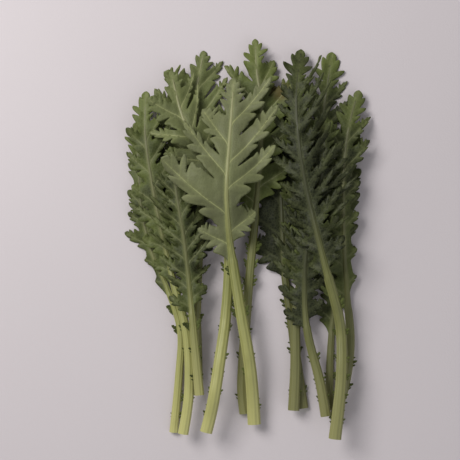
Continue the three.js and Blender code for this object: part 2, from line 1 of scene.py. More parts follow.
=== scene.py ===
# %% [markdown]
# A bunch of garland chrysanthemum, lying flat
#
# Fourteen cut leafy stems lie in a loose fan. A plain faceted model gives the place and height of
# every stem. This lesson dresses each one: a thin lobed blade with veins, a ribbed stalk that thins
# into the midrib, and small leafy ears along the stalk.
#
# First the faceted model is loaded, and its box is kept, because the finished bunch has to fill the
# same space. Plans are worked out in millimetres and turned into metres when a mesh is made.

# %% Load the faceted model
import math

import bpy
import numpy as np
from mathutils import Matrix, Vector, noise
from mathutils.bvhtree import BVHTree
from mathutils.geometry import delaunay_2d_cdt
from mathutils.kdtree import KDTree


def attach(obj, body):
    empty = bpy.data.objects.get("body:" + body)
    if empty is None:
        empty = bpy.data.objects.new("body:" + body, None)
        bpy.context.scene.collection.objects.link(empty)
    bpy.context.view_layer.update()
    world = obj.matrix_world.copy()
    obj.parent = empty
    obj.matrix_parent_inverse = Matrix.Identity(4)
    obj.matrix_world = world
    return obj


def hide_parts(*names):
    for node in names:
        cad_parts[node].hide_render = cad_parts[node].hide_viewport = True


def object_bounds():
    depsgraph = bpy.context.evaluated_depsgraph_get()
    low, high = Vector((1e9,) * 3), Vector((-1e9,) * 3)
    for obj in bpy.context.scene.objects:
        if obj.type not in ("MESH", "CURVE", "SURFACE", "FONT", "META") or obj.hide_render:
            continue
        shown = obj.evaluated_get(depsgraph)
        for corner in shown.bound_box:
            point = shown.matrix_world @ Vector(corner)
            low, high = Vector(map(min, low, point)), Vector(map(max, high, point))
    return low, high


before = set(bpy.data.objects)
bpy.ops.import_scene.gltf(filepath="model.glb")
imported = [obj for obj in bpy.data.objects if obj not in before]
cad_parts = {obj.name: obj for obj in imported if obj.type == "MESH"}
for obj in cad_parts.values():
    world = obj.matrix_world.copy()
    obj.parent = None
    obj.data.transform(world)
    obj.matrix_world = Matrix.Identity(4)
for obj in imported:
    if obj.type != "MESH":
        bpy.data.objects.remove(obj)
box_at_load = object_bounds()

MM = 0.001
TINY = 1e-12  # keeps a division by nothing from failing
scene = bpy.context.scene
print("faceted model, mm:", [round(c / MM, 1) for corner in box_at_load for c in corner])

# %% [markdown]
# The stems
#
# Every stem is described by the few sizes that a grower would notice: the way its stalk and midrib
# run, how thick the stalk is, how long the blade is, how far its lobes reach and how much they
# curl. The faceted model was laid out from the same sizes, so the fine leaves fall on it.

# %% List the stems, from the bottom of the pile to the top
# path: stalk and midrib in plan, from the cut end to the leaf tip
# stalk: width at the cut end. blade: length of the lobed part, measured back from the tip
# reach: length of the longest side lobe, on the left and on the right. pairs: lobes on each side
# lobes: in place of these two, each lobe's length from the foot up, on the left and on the right
# web: share of a lobe that is joined to its neighbour. curl: how strongly the blade bends
# closed: the lobes are pressed together, with no open slit between them
STEMS = {
    "left_low": dict(
        path=[(-27, -86), (-28, -50), (-31, -20), (-34, 10), (-38, 38), (-43, 60), (-48, 78)],
        stalk=5, blade=112, lobes=((16, 22, 24, 18), (18, 26, 28, 24)), web=0.6, curl=0.3, closed=True),
    "middle_low": dict(
        path=[(34, -100.3), (30.5, -76), (27, -50), (23, -20), (21, 20), (19, 55), (16, 88)],
        stalk=6, blade=112, lobes=((20, 26, 27, 25, 18), (20, 28, 30, 28, 21)),
        web=0.5, curl=0.5, closed=True),
    "far_right": dict(
        path=[(49, -101), (49.5, -72), (52, -40), (58, -5), (61, 30), (64, 60)],
        stalk=5, blade=118, lobes=((12, 15, 20, 18, 18, 15), (4.5, 5.5, 7, 7.5, 8, 8)),
        web=0.25, curl=0.7),
    "far_left": dict(
        path=[(-41.4, -115.4), (-38.3, -82), (-37.5, -56), (-45.5, -31),
              (-55, -10), (-61, 14), (-63, 40), (-65, 66)],
        stalk=5, blade=104, lobes=((4.5, 5.5, 14, 9.5, 9, 8.5), (11, 14, 20, 22, 18, 18)),
        web=0.25, curl=0.7),
    "top_left": dict(
        path=[(-28, -93), (-28, -60), (-27, -25), (-26, 10), (-27, 45), (-29, 80), (-25, 109)],
        stalk=5, blade=88, lobes=((20, 29, 30, 25), (20, 27, 27, 20)), web=0.65, curl=0.5),
    "top_right": dict(
        path=[(28.5, -101), (29.5, -78), (30, -45), (36, -5), (42, 40), (46, 75), (50.5, 107)],
        stalk=6.5, blade=136, lobes=((12, 18, 24, 27, 27, 25, 24), (11, 16, 21, 24, 23, 20, 17)),
        web=0.42, curl=0.7),
    "right": dict(
        path=[(51.5, -106), (58, -85), (61, -62), (59.5, -38), (57, 0), (57, 35), (60, 62), (66, 84)],
        stalk=6, blade=128, lobes=((13, 20, 20, 22, 25, 20), (5.5, 7.5, 10.5, 12, 19, 18)),
        web=0.35, curl=0.6),
    "left": dict(
        path=[(-34.9, -115), (-31.5, -90), (-33, -58), (-41, -28),
              (-48, 0), (-54, 30), (-58, 58), (-58, 84)],
        stalk=6, blade=114, reach=(17, 23), pairs=6, web=0.3, curl=0.8),
    "top_middle": dict(
        path=[(0, -104), (-1.5, -85), (1, -45), (5, 0), (9, 45), (9.5, 75), (6.5, 97), (5.6, 114.5)],
        stalk=6, blade=104, lobes=((17, 25, 26, 28), (18, 26, 28, 17)), web=0.55, curl=0.5),
    "right_of_middle": dict(
        path=[(47, -103.5), (43.5, -84), (36, -53), (35, -20), (39, 10), (45, 38), (46, 68)],
        stalk=6, blade=122, reach=(24, 24), pairs=10, web=0.15, curl=1.3),
    "inner_right": dict(
        path=[(51.9, -115.5), (55.5, -82), (55, -52), (48, -24), (41, 4),
              (35, 30), (31, 58), (30, 84), (32.5, 108.5)],
        stalk=7, blade=134, reach=(18, 27), pairs=10, web=0.15, curl=1.3),
    "left_of_middle": dict(
        path=[(-25, -92), (-28, -62), (-31, -32), (-35, 0), (-39, 25), (-42, 50)],
        stalk=5.5, blade=96, reach=(21, 22), pairs=8, web=0.15, curl=1.3),
    "upper_left": dict(
        path=[(-21.3, -113.3), (-16, -90), (-11, -50), (-9, -10), (-12, 25),
              (-22, 46), (-32, 60), (-38, 74), (-43, 95)],
        stalk=7, blade=80, reach=(22, 23), pairs=4, web=0.5, curl=0.5),
    "middle": dict(
        path=[(5.9, -109.3), (3.5, -75), (-2.5, -40), (-7.5, -8), (-9.4, 20),
              (-8.5, 45), (-7.3, 70), (-6.5, 91)],
        stalk=7.5, blade=106, lobes=((18, 43, 36, 24), (17, 33, 38, 32)), web=0.46, curl=0.4),
}
LEFT, RIGHT = 1, -1
for number, stem in enumerate(STEMS.values()):
    stem["number"] = number
print(len(STEMS), "stems")

# %% [markdown]
# Ways, and numbers that vary
#
# A stalk's way is a smooth curve through a few points. Blender's own curves could hold it, but the
# plan needs the point and the direction at any distance from the cut end, so a small class gives
# them. The numbers that make one lobe differ from the next come from a sine, so each run of the
# script grows the same leaves. Every use of them has its own stretch of keys.

# %% Follow a smooth way by distance
SCATTER = 12.9898, 78.233, 43758.5453  # factors with nothing in common, so that near keys differ widely
LENGTH_KEY, LEFT_KEY, RIGHT_KEY, END_KEY = 40, 300, 600, 900
STATION_KEY, SLIT_KEY, TWIST_KEY = 1000, 2000, 3000
LOBE_KEYS, SIDE_KEYS, TOOTH_KEYS = 10, 20, 3  # steps between the keys of two lobes, sides and teeth
LEAN_KEY = 6  # from a lobe's key to the one for its angle


def vary(stem_number, key):
    """A repeatable number from -1 to 1."""
    wave = math.sin(stem_number * SCATTER[0] + key * SCATTER[1]) * SCATTER[2]
    return 2 * (wave - math.floor(wave)) - 1


def mix(a, b, share):
    return a + (b - a) * share


def turned(direction, degrees):
    c, s = math.cos(math.radians(degrees)), math.sin(math.radians(degrees))
    return np.array([c * direction[0] - s * direction[1], s * direction[0] + c * direction[1]])


def unit(vector):
    return vector / np.linalg.norm(vector)


class Path:
    """A smooth way in plan through a few points, followed by its length."""

    def __init__(self, points, parts=200):
        self.points = np.array(points, float)
        self.shares = np.linspace(0, 1, parts + 1)
        steps = np.diff(self.curve(self.shares), axis=0)
        self.marks = np.concatenate([[0], np.cumsum(np.hypot(steps[:, 0], steps[:, 1]))])
        self.length = self.marks[-1]

    def curve(self, share):
        last = len(self.points) - 1
        place = np.clip(np.asarray(share, float), 0, 1) * last
        before = np.minimum(place.astype(int), last - 1)
        w = (place - before)[..., None]
        p0, p1, p2, p3 = (self.points[np.clip(before + k, 0, last)] for k in (-1, 0, 1, 2))
        start, end = (p2 - p0) / 2, (p3 - p1) / 2
        bend = 3 * (p2 - p1) - 2 * start - end
        return p1 + start * w + bend * w**2 + (2 * (p1 - p2) + start + end) * w**3

    def at(self, distance):
        return self.curve(np.interp(distance, self.marks, self.shares))

    def along(self, distance, step=0.05):
        return unit(self.at(min(distance + step, self.length)) - self.at(max(distance - step, 0)))


middle_path = Path(STEMS["middle"]["path"])
print("the middle stem is", round(middle_path.length, 1), "mm long")

# %% [markdown]
# Stations along the stalk
#
# A leaf is easiest to lay out from its midrib. Stations are the places along it that something
# grows from: the small ears on the bare stalk first, then in turn a border between two lobes and a
# lobe's vein. They are spaced evenly up the blade and then each moved a little, because on a real
# leaf no two lobes are the same distance apart.

# %% Set out the stations
EAR_PITCH, EAR_PITCH_VARIES = 12, 0.3  # from one ear to the next, and how much that varies
EAR_BASE = 3.5  # length of stalk that an ear takes up
FIRST_EAR = 0.7  # distance of the first ear from the cut end, in pitches
END_LOBE = 0.18  # share of the blade taken by the lobe at its tip
FOOT_LOBE, TIP_LOBE = 0.4, 0.7  # lengths of the lowest and highest side lobe, as shares of the longest
LONGEST_AT = 0.6  # place of the longest side lobe, as a share of the way up
END_ROOM = 0.6  # room before the first lobe and past the last, in lobe spacings
LENGTH_VARIES = 0.18  # share by which a lobe's length differs
STATION_VARIES = 0.3  # how far a vein or border is off, as a share of the even spacing
RIB_TIP_WIDTH = 1.2
STALK_TAPER, RIB_TAPER = 0.25, 0.35  # share lost up to the blade, and how it thins after that


def lobe_lengths(stem):
    """Each side's lobes from the foot up: short at first, longest past the middle."""
    if "lobes" in stem:
        return stem["lobes"]
    count, sides = stem["pairs"], []
    for side, longest in enumerate(stem["reach"]):
        u = (np.arange(count) + END_ROOM) / (count - 1 + 2 * END_ROOM)
        rise = np.sin(math.pi / 2 * np.minimum(u / LONGEST_AT, 1))
        fall = np.maximum(u - LONGEST_AT, 0) / (1 - LONGEST_AT)
        share = mix(FOOT_LOBE, 1, rise) - (1 - TIP_LOBE) * fall**2
        draws = [vary(stem["number"], LENGTH_KEY * (side + 1) + k) for k in range(count)]
        sides.append(longest * share * (1 + LENGTH_VARIES * np.array(draws)))
    return sides


def set_out(stem):
    """Adds to a stem its path, its stations and where its lobed part begins."""
    path = stem["line"] = Path(stem["path"])
    stem["lengths"] = lobe_lengths(stem)
    blade_foot = stem["foot"] = path.length - stem["blade"]
    rib_end = path.length - END_LOBE * stem["blade"]
    places, ears = [0], []
    s = FIRST_EAR * EAR_PITCH
    while s + EAR_BASE < blade_foot - EAR_BASE:
        ears.append(len(places))
        places += [s, s + EAR_BASE]
        s += EAR_PITCH * (1 + EAR_PITCH_VARIES * vary(stem["stalk"], s))
    first = len(places)
    steps = 2 * len(stem["lengths"][0]) + 1
    for j in range(steps + 1):
        off = STATION_VARIES * vary(stem["number"], STATION_KEY + j) if 0 < j < steps else 0
        places.append(mix(blade_foot, rib_end, (j + off) / steps))
    stem.update(places=places, ears=ears, first=first, last=first + steps)


def rib_width(stem, s):
    """Width of the stalk or midrib at a distance from the cut end."""
    foot = stem["foot"]
    u = np.clip((s - foot) / (stem["line"].length - foot), 0, 1)
    stalk = stem["stalk"] * (1 - STALK_TAPER * np.minimum(s / foot, 1))
    return mix(stalk, RIB_TIP_WIDTH, u**RIB_TAPER)


def rib_edge(stem, s, side, share=1):
    across = turned(stem["line"].along(s), 90)
    return stem["line"].at(s) + side * share * rib_width(stem, s) / 2 * across


for stem in STEMS.values():
    set_out(stem)
print("stations on each stem:", [len(stem["places"]) for stem in STEMS.values()])

# %% [markdown]
# Lobes and teeth
#
# A lobe has a vein down its middle that sweeps forward, and it keeps clear of the borders that it
# shares with its neighbours. Its teeth are blunt and lean forward, with narrow notches between.
# Each tooth is drawn with two short Bezier curves: one swells out from the notch behind it, the
# other rounds over into the notch ahead. Every side of every lobe differs a little.
#
# Two lobes part at a rounded sinus. From there a narrow slit runs on towards the midrib, as on the
# real leaf, where broad lobes stand so close that only a dark line shows between them.

# %% Draw bent ways and curves
EDGE_STEP, LINE_STEP = 0.55, 1.2  # length of the straight pieces of an edge and of a vein


class Way:
    """A way out from the midrib that bends forward as it goes."""

    def __init__(self, root, heading, bend):
        self.root, self.heading, self.bend = np.array(root), heading, bend

    def at(self, distance):
        d = np.asarray(distance, float)[..., None]
        return self.root + self.heading * d + self.bend * d**2

    def room(self, start, direction, most, length=84, step=4):
        """Distance to this way from a point, straight in one direction, but no more than most."""
        spots = self.at(np.arange(0, length, step)) - start
        side = direction[0] * spots[:, 1] - direction[1] * spots[:, 0]
        ahead = spots @ direction
        for k in np.flatnonzero(side[:-1] * side[1:] <= 0):
            distance = mix(ahead[k], ahead[k + 1], side[k] / (side[k] - side[k + 1] + TINY))
            if distance > 0:
                most = min(most, distance)
        return most


def bezier(points, step=EDGE_STEP):
    """The points of a Bezier curve with any number of control points, without its last one."""
    points = [np.asarray(p, float) for p in points]
    length = sum(np.linalg.norm(b - a) for a, b in zip(points, points[1:]))
    count = max(2, round(length / step))
    t = np.arange(count) / count
    rows = [np.tile(p, (count, 1)) for p in points]
    while len(rows) > 1:
        rows = [mix(a, b, t[:, None]) for a, b in zip(rows, rows[1:])]
    return rows[0]


print("points along a bow of 20 mm:", len(bezier([(0, 0), (10, 0), (20, 0)])))

# %% Draw one side of a lobe
LOBE_GAP = 0.7  # between two lobes
ROOMS = 9  # places along a lobe at which its room is measured
WIDEST, LEAST_HALF = 0.5, 0.4  # a side's most width as a share of the lobe's length, and its least in mm
TOOTHLESS = 0.05, 0.7  # least and most of a lobe's length that has no teeth
TOOTH_SIZES = (5, 9, 16)  # shortest lobes with one, two and three teeth a side
TOOTH_AT, TOOTH_VARIES = 0.9, 0.05  # place of a tooth's point, as a share of its stretch
NOTCH_AT = 0.66  # place of the notch ahead of it, which lies further back because teeth lean forward
TIP_STRETCH = 0.5  # length of the toothless tip, in stretches
GIRTH, MORE_GIRTH, GIRTH_VARIES = 0.82, 0.18, 0.06  # share of the side's width that a tooth takes
NOTCH, NOTCH_VARIES = 0.42, 0.08  # width left at a notch, as a share of the tooth's
POINT = 0.9  # width at a tooth's point, as a share of its girth
# control points of the curves: each a share of the way along, and a share of the girth there
FIRST_SWELL = (0.1, 0.75), (0.75, 1.12)
NEXT_SWELL, ROUNDING = (0.6, 1.15), (0.75, 0.35)
TIP_CURVE = (0.35, 1.7), (0.96, 1.2)
BARE_GIRTH = 0.7  # of a lobe without teeth
TOOTH_VEIN = 0.8, 0.08, (0.6, 0.45), 0.78  # how far back it leaves, its least start, its bend, its end
SLIT_WIDTH = 1.7  # width at the mouth of a slit


def lobe_edge(lobe, side, border, sinus_at, slit_at):
    """One side of a lobe from its slit and sinus to its tip, with the veins that run to its teeth."""
    vein, reach, number = lobe["vein"], lobe["reach"], lobe["number"]
    sinus = border.at(sinus_at)
    start = np.clip((sinus - vein.root) @ vein.heading / reach, *TOOTHLESS)
    lateral = side * lobe["lateral"]
    shares = np.linspace(0, 1, ROOMS)
    rooms = [border.room(vein.at(v * reach), lateral, WIDEST * reach) for v in shares]

    def spot(v, share):
        """The point at a share of the lobe's length and a share of this side's width there."""
        width = share * max(np.interp(v, shares, rooms) - LOBE_GAP / 2, LEAST_HALF)
        return vein.at(v * reach) + lateral * width

    slit = np.arange(slit_at, sinus_at, EDGE_STEP)
    opening = SLIT_WIDTH / 2 * np.sqrt((slit - slit_at) / max(sinus_at - slit_at, EDGE_STEP))
    behind = sinus - lateral * (SLIT_WIDTH / 2 if len(slit) else 0)
    points, veins = [border.at(slit) - lateral * opening[:, None]], []
    count = sum(reach > least for least in TOOTH_SIZES)
    stretches = count + TIP_STRETCH
    v_behind, v_point, w_behind = start, start, BARE_GIRTH
    for k in range(count):
        key = lobe["key"] + SIDE_KEYS * side + TOOTH_KEYS * k
        jitter = vary(number, key)
        f_tooth = (k + TOOTH_AT + TOOTH_VARIES * jitter) / stretches
        v_tooth, v_notch = mix(start, 1, f_tooth), mix(start, 1, (k + NOTCH_AT) / stretches)
        girth = (GIRTH + MORE_GIRTH * math.sin(math.pi * f_tooth)) * (1 - f_tooth**4)
        girth *= 1 + GIRTH_VARIES * jitter
        notch = girth * (NOTCH + NOTCH_VARIES * vary(number, key + 1))
        if k == 0:
            swell = [spot(mix(start, v_tooth, v), girth * share) for v, share in FIRST_SWELL]
        else:
            bulge = spot(mix(v_point, v_tooth, NEXT_SWELL[0]), girth * NEXT_SWELL[1])
            swell = [spot(v_point, w_behind), bulge]
        point = spot(v_tooth, girth * POINT)
        points.append(bezier([behind, *swell, point]))
        inner = spot(mix(v_notch, v_tooth, ROUNDING[0]), mix(notch, girth, ROUNDING[1]))
        points.append(bezier([point, inner, spot(v_notch, notch)]))
        back, least, bend, end = TOOTH_VEIN
        leaves = mix(start, 1, f_tooth - back / stretches)
        bend_at = spot(mix(leaves, v_tooth, bend[0]), girth * bend[1])
        root = vein.at(max(leaves, least) * reach)
        veins.append(bezier([root, bend_at, spot(v_tooth, girth * end)], LINE_STEP))
        behind, v_behind, v_point, w_behind = spot(v_notch, notch), v_notch, v_tooth, notch
    (near, near_share), (far, far_share) = TIP_CURVE
    tip_curve = [spot(mix(v_behind, 1, near), w_behind * near_share), spot(far, w_behind * far_share)]
    points.append(bezier([behind, *tip_curve, vein.at(reach)]))
    return np.vstack(points), veins


print("teeth on a side of a lobe of 20 mm:", sum(20 > least for least in TOOTH_SIZES))

# %% [markdown]
# The whole outline
#
# A leaf's outline runs up one side, lobe by lobe, round the lobe at its tip and down the other
# side. Lobes stand out steeply at the foot of the blade and lean forward near its tip. Each lobe's
# vein leaves the midrib in a short bend rather than at a corner.

# %% Draw one side of a blade
LOBE_SWEEP = 0.16  # how strongly lobes bend forward
LOBE_ANGLE, LOBE_ANGLE_VARIES = (64, 30), 3  # degrees from the midrib, at the foot and near the tip
FIRST_BORDER_TURN = 15  # degrees by which the lowest border leans out more
LAST_BORDER_ANGLE = 0.8, 1.1  # the border beside the end lobe, left and right, as a share of that angle
LEAST_WEB = 3.5, 0.45  # mm of each lobe that are joined at least, unless that is more than this share
LAST_WEB = 0.6  # share of the last lobe's length that counts where it meets the end lobe
SLIT_END = 4.5  # distance from the midrib at which the deepest slits end
SLIT_DEPTH, SLIT_VARIES = 0.85, 0.15  # share of the way to there that a slit runs
BRANCH = 5, 0.5  # where a vein's bend starts and ends, and its corner, in mm from the station


def side_lobes(stem, side):
    """The edge of one side of the blade, from its foot to the end lobe, and its veins."""
    path, first, number = stem["line"], stem["first"], stem["number"]
    shift, side_key = (0, LEFT_KEY) if side == LEFT else (1, RIGHT_KEY)
    lengths = stem["lengths"][shift]

    def way_from(station, narrowing, degrees):
        s = stem["places"][station]
        along = path.along(s)
        u = np.clip((s - stem["foot"]) / stem["blade"], 0, 1)
        heading = turned(along, side * (mix(*LOBE_ANGLE, u) * narrowing + degrees))
        return Way(rib_edge(stem, s, side), heading, along * LOBE_SWEEP / max(lengths))

    lobes, borders = [], []
    for k, reach in enumerate(lengths):
        middle = first + shift + 2 * k + 1
        key = LOBE_KEYS * (middle - first) + side_key
        vein = way_from(middle, 1, LOBE_ANGLE_VARIES * vary(number, key + LEAN_KEY))
        lateral = turned(vein.heading, -90 * side)
        lobes.append(dict(vein=vein, lateral=lateral, reach=reach, number=number, key=key,
                          s=stem["places"][middle]))
    for k in range(len(lengths) + 1):
        is_last = k == len(lengths)
        station = first + shift + 2 * k
        narrowing = LAST_BORDER_ANGLE[shift] if is_last else 1
        way = way_from(station, narrowing, FIRST_BORDER_TURN if k == 0 else 0)
        sinus_at = slit_at = 0
        if k:
            shorter = LAST_WEB * lengths[k - 1] if is_last else min(lengths[k - 1], lengths[k])
            sinus_at = max(stem["web"], min(LEAST_WEB[0] / shorter, LEAST_WEB[1])) * shorter
            deep = 0 if "closed" in stem else SLIT_DEPTH + SLIT_VARIES * vary(number, SLIT_KEY + station)
            slit_at = mix(sinus_at, min(SLIT_END, sinus_at), deep)
        borders.append((way, sinus_at, slit_at))
    edge, veins = [], []
    for k, lobe in enumerate(lobes):
        near, near_veins = lobe_edge(lobe, -1, *borders[k])
        far, far_veins = lobe_edge(lobe, 1, *borders[k + 1])
        vein, reach, (bend, corner) = lobe["vein"], lobe["reach"], BRANCH
        edge += [near, vein.at(reach)[None], far[::-1][:-1]]
        branch = bezier([path.at(lobe["s"] - bend), path.at(lobe["s"] - corner), vein.at(bend)], LINE_STEP)
        outward = vein.at(np.arange(bend, reach - LINE_STEP, LINE_STEP))
        veins.append((np.vstack([branch, outward]), True))
        veins += [(line, False) for line in near_veins + far_veins]
    return np.vstack(edge), veins, borders[-1]


edge, veins, _ = side_lobes(STEMS["middle"], LEFT)
print("left side of the middle leaf:", len(edge), "points and", len(veins), "veins")

# %% Join the sides to a whole outline
END_START = 1  # how far past the last station the end lobe's vein starts
STALK_STEP, STALK_STOP = 2.5, 1  # between points of a bare stalk's edge, and left out below the blade
SPINE_STOP = 1.5  # how far before the tip the midrib ends


def end_lobe(stem, left_border, right_border):
    path = stem["line"]
    end = path.at(stem["places"][stem["last"]])
    heading = unit(path.at(path.length) - end)
    lobe = dict(vein=Way(end + END_START * heading, heading, np.zeros(2)), lateral=turned(heading, -90),
                reach=END_LOBE * stem["blade"] - END_START, number=stem["number"], key=END_KEY)
    left, left_veins = lobe_edge(lobe, -1, *left_border)
    right, right_veins = lobe_edge(lobe, 1, *right_border)
    edge = np.vstack([left, lobe["vein"].at(lobe["reach"])[None], right[::-1]])
    return edge, [(line, False) for line in left_veins + right_veins]


def outline_of(stem):
    """The sheet's outline, its midrib, and its veins, each with whether it is a lobe's own."""
    first, places, path = stem["first"], stem["places"], stem["line"]
    left, left_veins, left_border = side_lobes(stem, LEFT)
    right, right_veins, right_border = side_lobes(stem, RIGHT)
    end, end_veins = end_lobe(stem, left_border, right_border)
    stalk_left, stalk_right = ([rib_edge(stem, s, side) for s in np.arange(0, stop - STALK_STOP, STALK_STEP)]
                               for side, stop in ((LEFT, places[first]), (RIGHT, places[first + 1])))
    outline = np.vstack([stalk_left, left, end, right[::-1], stalk_right[::-1]])
    spine = path.at(np.arange(0, path.length - SPINE_STOP, LINE_STEP))
    return outline, spine, left_veins + right_veins + end_veins


for stem in STEMS.values():
    stem["outline"], stem["spine"], stem["veins"] = outline_of(stem)
print("points round each blade:", [len(stem["outline"]) for stem in STEMS.values()])

# %% [markdown]
# From a plan to a sheet
#
# A blade is a thin sheet with a very ragged outline. Drawing it as a grid would bend the grid round
# every notch, so it is triangulated instead: the outline and the veins are kept as edges, and points
# on a slightly shaken triangular grid fill the rest. The strip under the stalk is filled as well,
# so that the whole stem can settle as one sheet, and it is taken off later.

# %% Triangulate each plan
FILL = 0.95  # distance between the points inside a blade
GRID_SHAKE = 0.12  # how far each is moved at most, as a share of that
GRID_CLEAR = 0.6  # least distance from the outline and the veins, as a share of that
NEAR_ENOUGH = 1e-3  # points closer than this become one


def inside(points, outline):
    """Which points lie inside a closed outline: a line from them crosses it an odd number of times."""
    ahead = np.roll(outline, -1, axis=0)
    found = np.zeros(len(points), bool)
    for (x0, y0), (x1, y1) in zip(outline, ahead):
        if y0 != y1:
            spans = (points[:, 1] < y0) != (points[:, 1] < y1)
            found ^= spans & (points[:, 0] < (x1 - x0) * (points[:, 1] - y0) / (y1 - y0) + x0)
    return found


def finder(spots):
    """A search tree over points of a plan."""
    tree = KDTree(len(spots))
    for k, spot in enumerate(spots):
        tree.insert((*spot, 0), k)
    tree.balance()
    return tree


def nearest(points, spots):
    """For each point, the number of the nearest spot and the distance to it."""
    tree = finder(spots)
    found = [tree.find((*point, 0)) for point in points]
    return np.array([index for _, index, _ in found]), np.array([distance for _, _, distance in found])


def distance_to(points, lines):
    """Distance from each point to the nearest point of some lines drawn with short steps."""
    return nearest(points, np.vstack(lines))[1]


def triangulate(stem):
    """Points and triangles of a stem's plan."""
    outline, fixed = stem["outline"], [stem["spine"]] + [line for line, _ in stem["veins"]]
    low, high = outline.min(0), outline.max(0)
    rows = np.arange(low[1], high[1], FILL * math.sqrt(3) / 2)
    columns = np.arange(low[0], high[0], FILL)
    grid = np.array([(x + FILL / 2 * (j % 2), y) for j, y in enumerate(rows) for x in columns])
    draw = np.random.default_rng(stem["number"])
    grid += draw.uniform(-GRID_SHAKE, GRID_SHAKE, grid.shape) * FILL
    grid = grid[inside(grid, outline)]
    grid = grid[distance_to(grid, [outline, *fixed]) > GRID_CLEAR * FILL]
    points, edges = [outline], []
    count = len(outline)
    for line in fixed:
        edges += [(count + k, count + k + 1) for k in range(len(line) - 1)]
        points.append(line)
        count += len(line)
    points = [Vector(p) for p in np.vstack(points + [grid])]
    ring, keep_inside = [list(range(len(outline)))], 1
    spots, _, faces, *_ = delaunay_2d_cdt(points, edges, ring, keep_inside, NEAR_ENOUGH)
    used, faces = np.unique([f for f in faces if len(f) == 3], return_inverse=True)
    return np.array([tuple(spots[k]) for k in used]), faces.reshape(-1, 3)


for stem in STEMS.values():
    stem["plan"], stem["faces"] = triangulate(stem)
print("triangles in each sheet:", [len(stem["faces"]) for stem in STEMS.values()])

# %% [markdown]
# Heights from the faceted model
#
# The faceted stems already lie on each other without touching. Each fine sheet takes the height
# halfway between the top and the underside of its own faceted stem. To look heights up, the top
# facets and the bottom facets are pressed flat into two search trees, so that the nearest facet in
# plan is the facet overhead, and its plane gives the height. The facets' creases are then smoothed.
#
# The plan's own zero and the model's are not the same point. The lowest corner of each cut end is
# known in both, so it gives the shift between them.

# %% Find the shift from plan to model
def node_facets(name):
    """Corners and normals of a faceted stem's triangles, in millimetres."""
    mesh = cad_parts["leafy_stem_" + name].data
    mesh.calc_loop_triangles()
    spots = np.array([v.co for v in mesh.vertices]) / MM
    corners = spots[np.array([t.vertices for t in mesh.loop_triangles])]
    normals = np.cross(corners[:, 1] - corners[:, 0], corners[:, 2] - corners[:, 0])
    return corners, normals / np.maximum(np.linalg.norm(normals, axis=1), TINY)[:, None]


def cut_corner_shift(name, stem):
    corners, _ = node_facets(name)
    spots = corners.reshape(-1, 3)
    found = spots[spots[:, 1].argmin()][:2]
    planned = min((rib_edge(stem, 0, side) for side in (LEFT, RIGHT)), key=lambda spot: spot[1])
    return found - planned


shifts = np.array([cut_corner_shift(name, stem) for name, stem in STEMS.items()])
SHIFT = np.median(shifts, axis=0)
print("shift from plan to model, mm:", SHIFT.round(3), "and most by which a stem differs:",
      abs(shifts - SHIFT).max().round(4))

# %% Read the heights
SMOOTHING = 7  # passes over each sheet
FACING = 0.05  # least upward or downward part of a facet's normal


def heights_over(plan, corners, normals, upward):
    """Height of the facets that face up, or down, at each point of a plan."""
    chosen = normals[:, 2] > FACING if upward else normals[:, 2] < -FACING
    corners, normals = corners[chosen], normals[chosen]
    flat = corners.copy()
    flat[:, :, 2] = 0
    faces = np.arange(3 * len(flat)).reshape(-1, 3)
    tree = BVHTree.FromPolygons(flat.reshape(-1, 3).tolist(), faces.tolist())
    hits = [tree.find_nearest((*spot, 0)) for spot in plan]
    spots = np.array([tuple(place) for place, _, _, _ in hits])
    facet = np.array([index for _, _, index, _ in hits])
    corner, normal = corners[facet, 0], normals[facet]
    return corner[:, 2] - ((spots - corner)[:, :2] * normal[:, :2]).sum(1) / normal[:, 2]


def smoothed(values, edges, passes, floor=None):
    """Values on a mesh, each moved halfway to the mean of its neighbours, over and over."""
    neighbours = np.bincount(edges.ravel(), minlength=len(values))
    for _ in range(passes):
        total = np.bincount(edges[:, 0], values[edges[:, 1]], len(values))
        total += np.bincount(edges[:, 1], values[edges[:, 0]], len(values))
        values = mix(values, total / neighbours, 0.5)
        if floor is not None:
            values = np.maximum(values, floor)
    return values


def edges_of(faces):
    pairs = np.sort(np.vstack([faces[:, [0, 1]], faces[:, [1, 2]], faces[:, [2, 0]]]), axis=1)
    return np.unique(pairs, axis=0)


for name, stem in STEMS.items():
    corners, normals = node_facets(name)
    plan = stem["plan"] + SHIFT
    both = [heights_over(plan, corners, normals, upward) for upward in (True, False)]
    stem["edges"] = edges_of(stem["faces"])
    stem["z"] = smoothed(sum(both) / 2, stem["edges"], SMOOTHING)
print("highest middle of each sheet, mm:", {name: stem["z"].max().round(1) for name, stem in STEMS.items()})

# %% [markdown]
# Bulges, ruffled margins and twisted lobes
#
# A fresh leaf of this plant is never flat. The blade bulges up between its veins, the margin ruffles
# up and down over about a centimetre, each lobe is turned a little about its own vein, and the whole
# surface puckers. How far a point is from the nearest vein and from the margin decides which of
# these it takes. The same distances are kept for the finish, which is paler along the veins.

# %% Measure the sheets
LEAF_THICKNESS = 0.45
RIB_DEPTH = 0.62  # depth of a stalk as a share of its width
STRIP_MARGIN = 0.3  # how far the strip that is taken off reaches past the stalk's edge


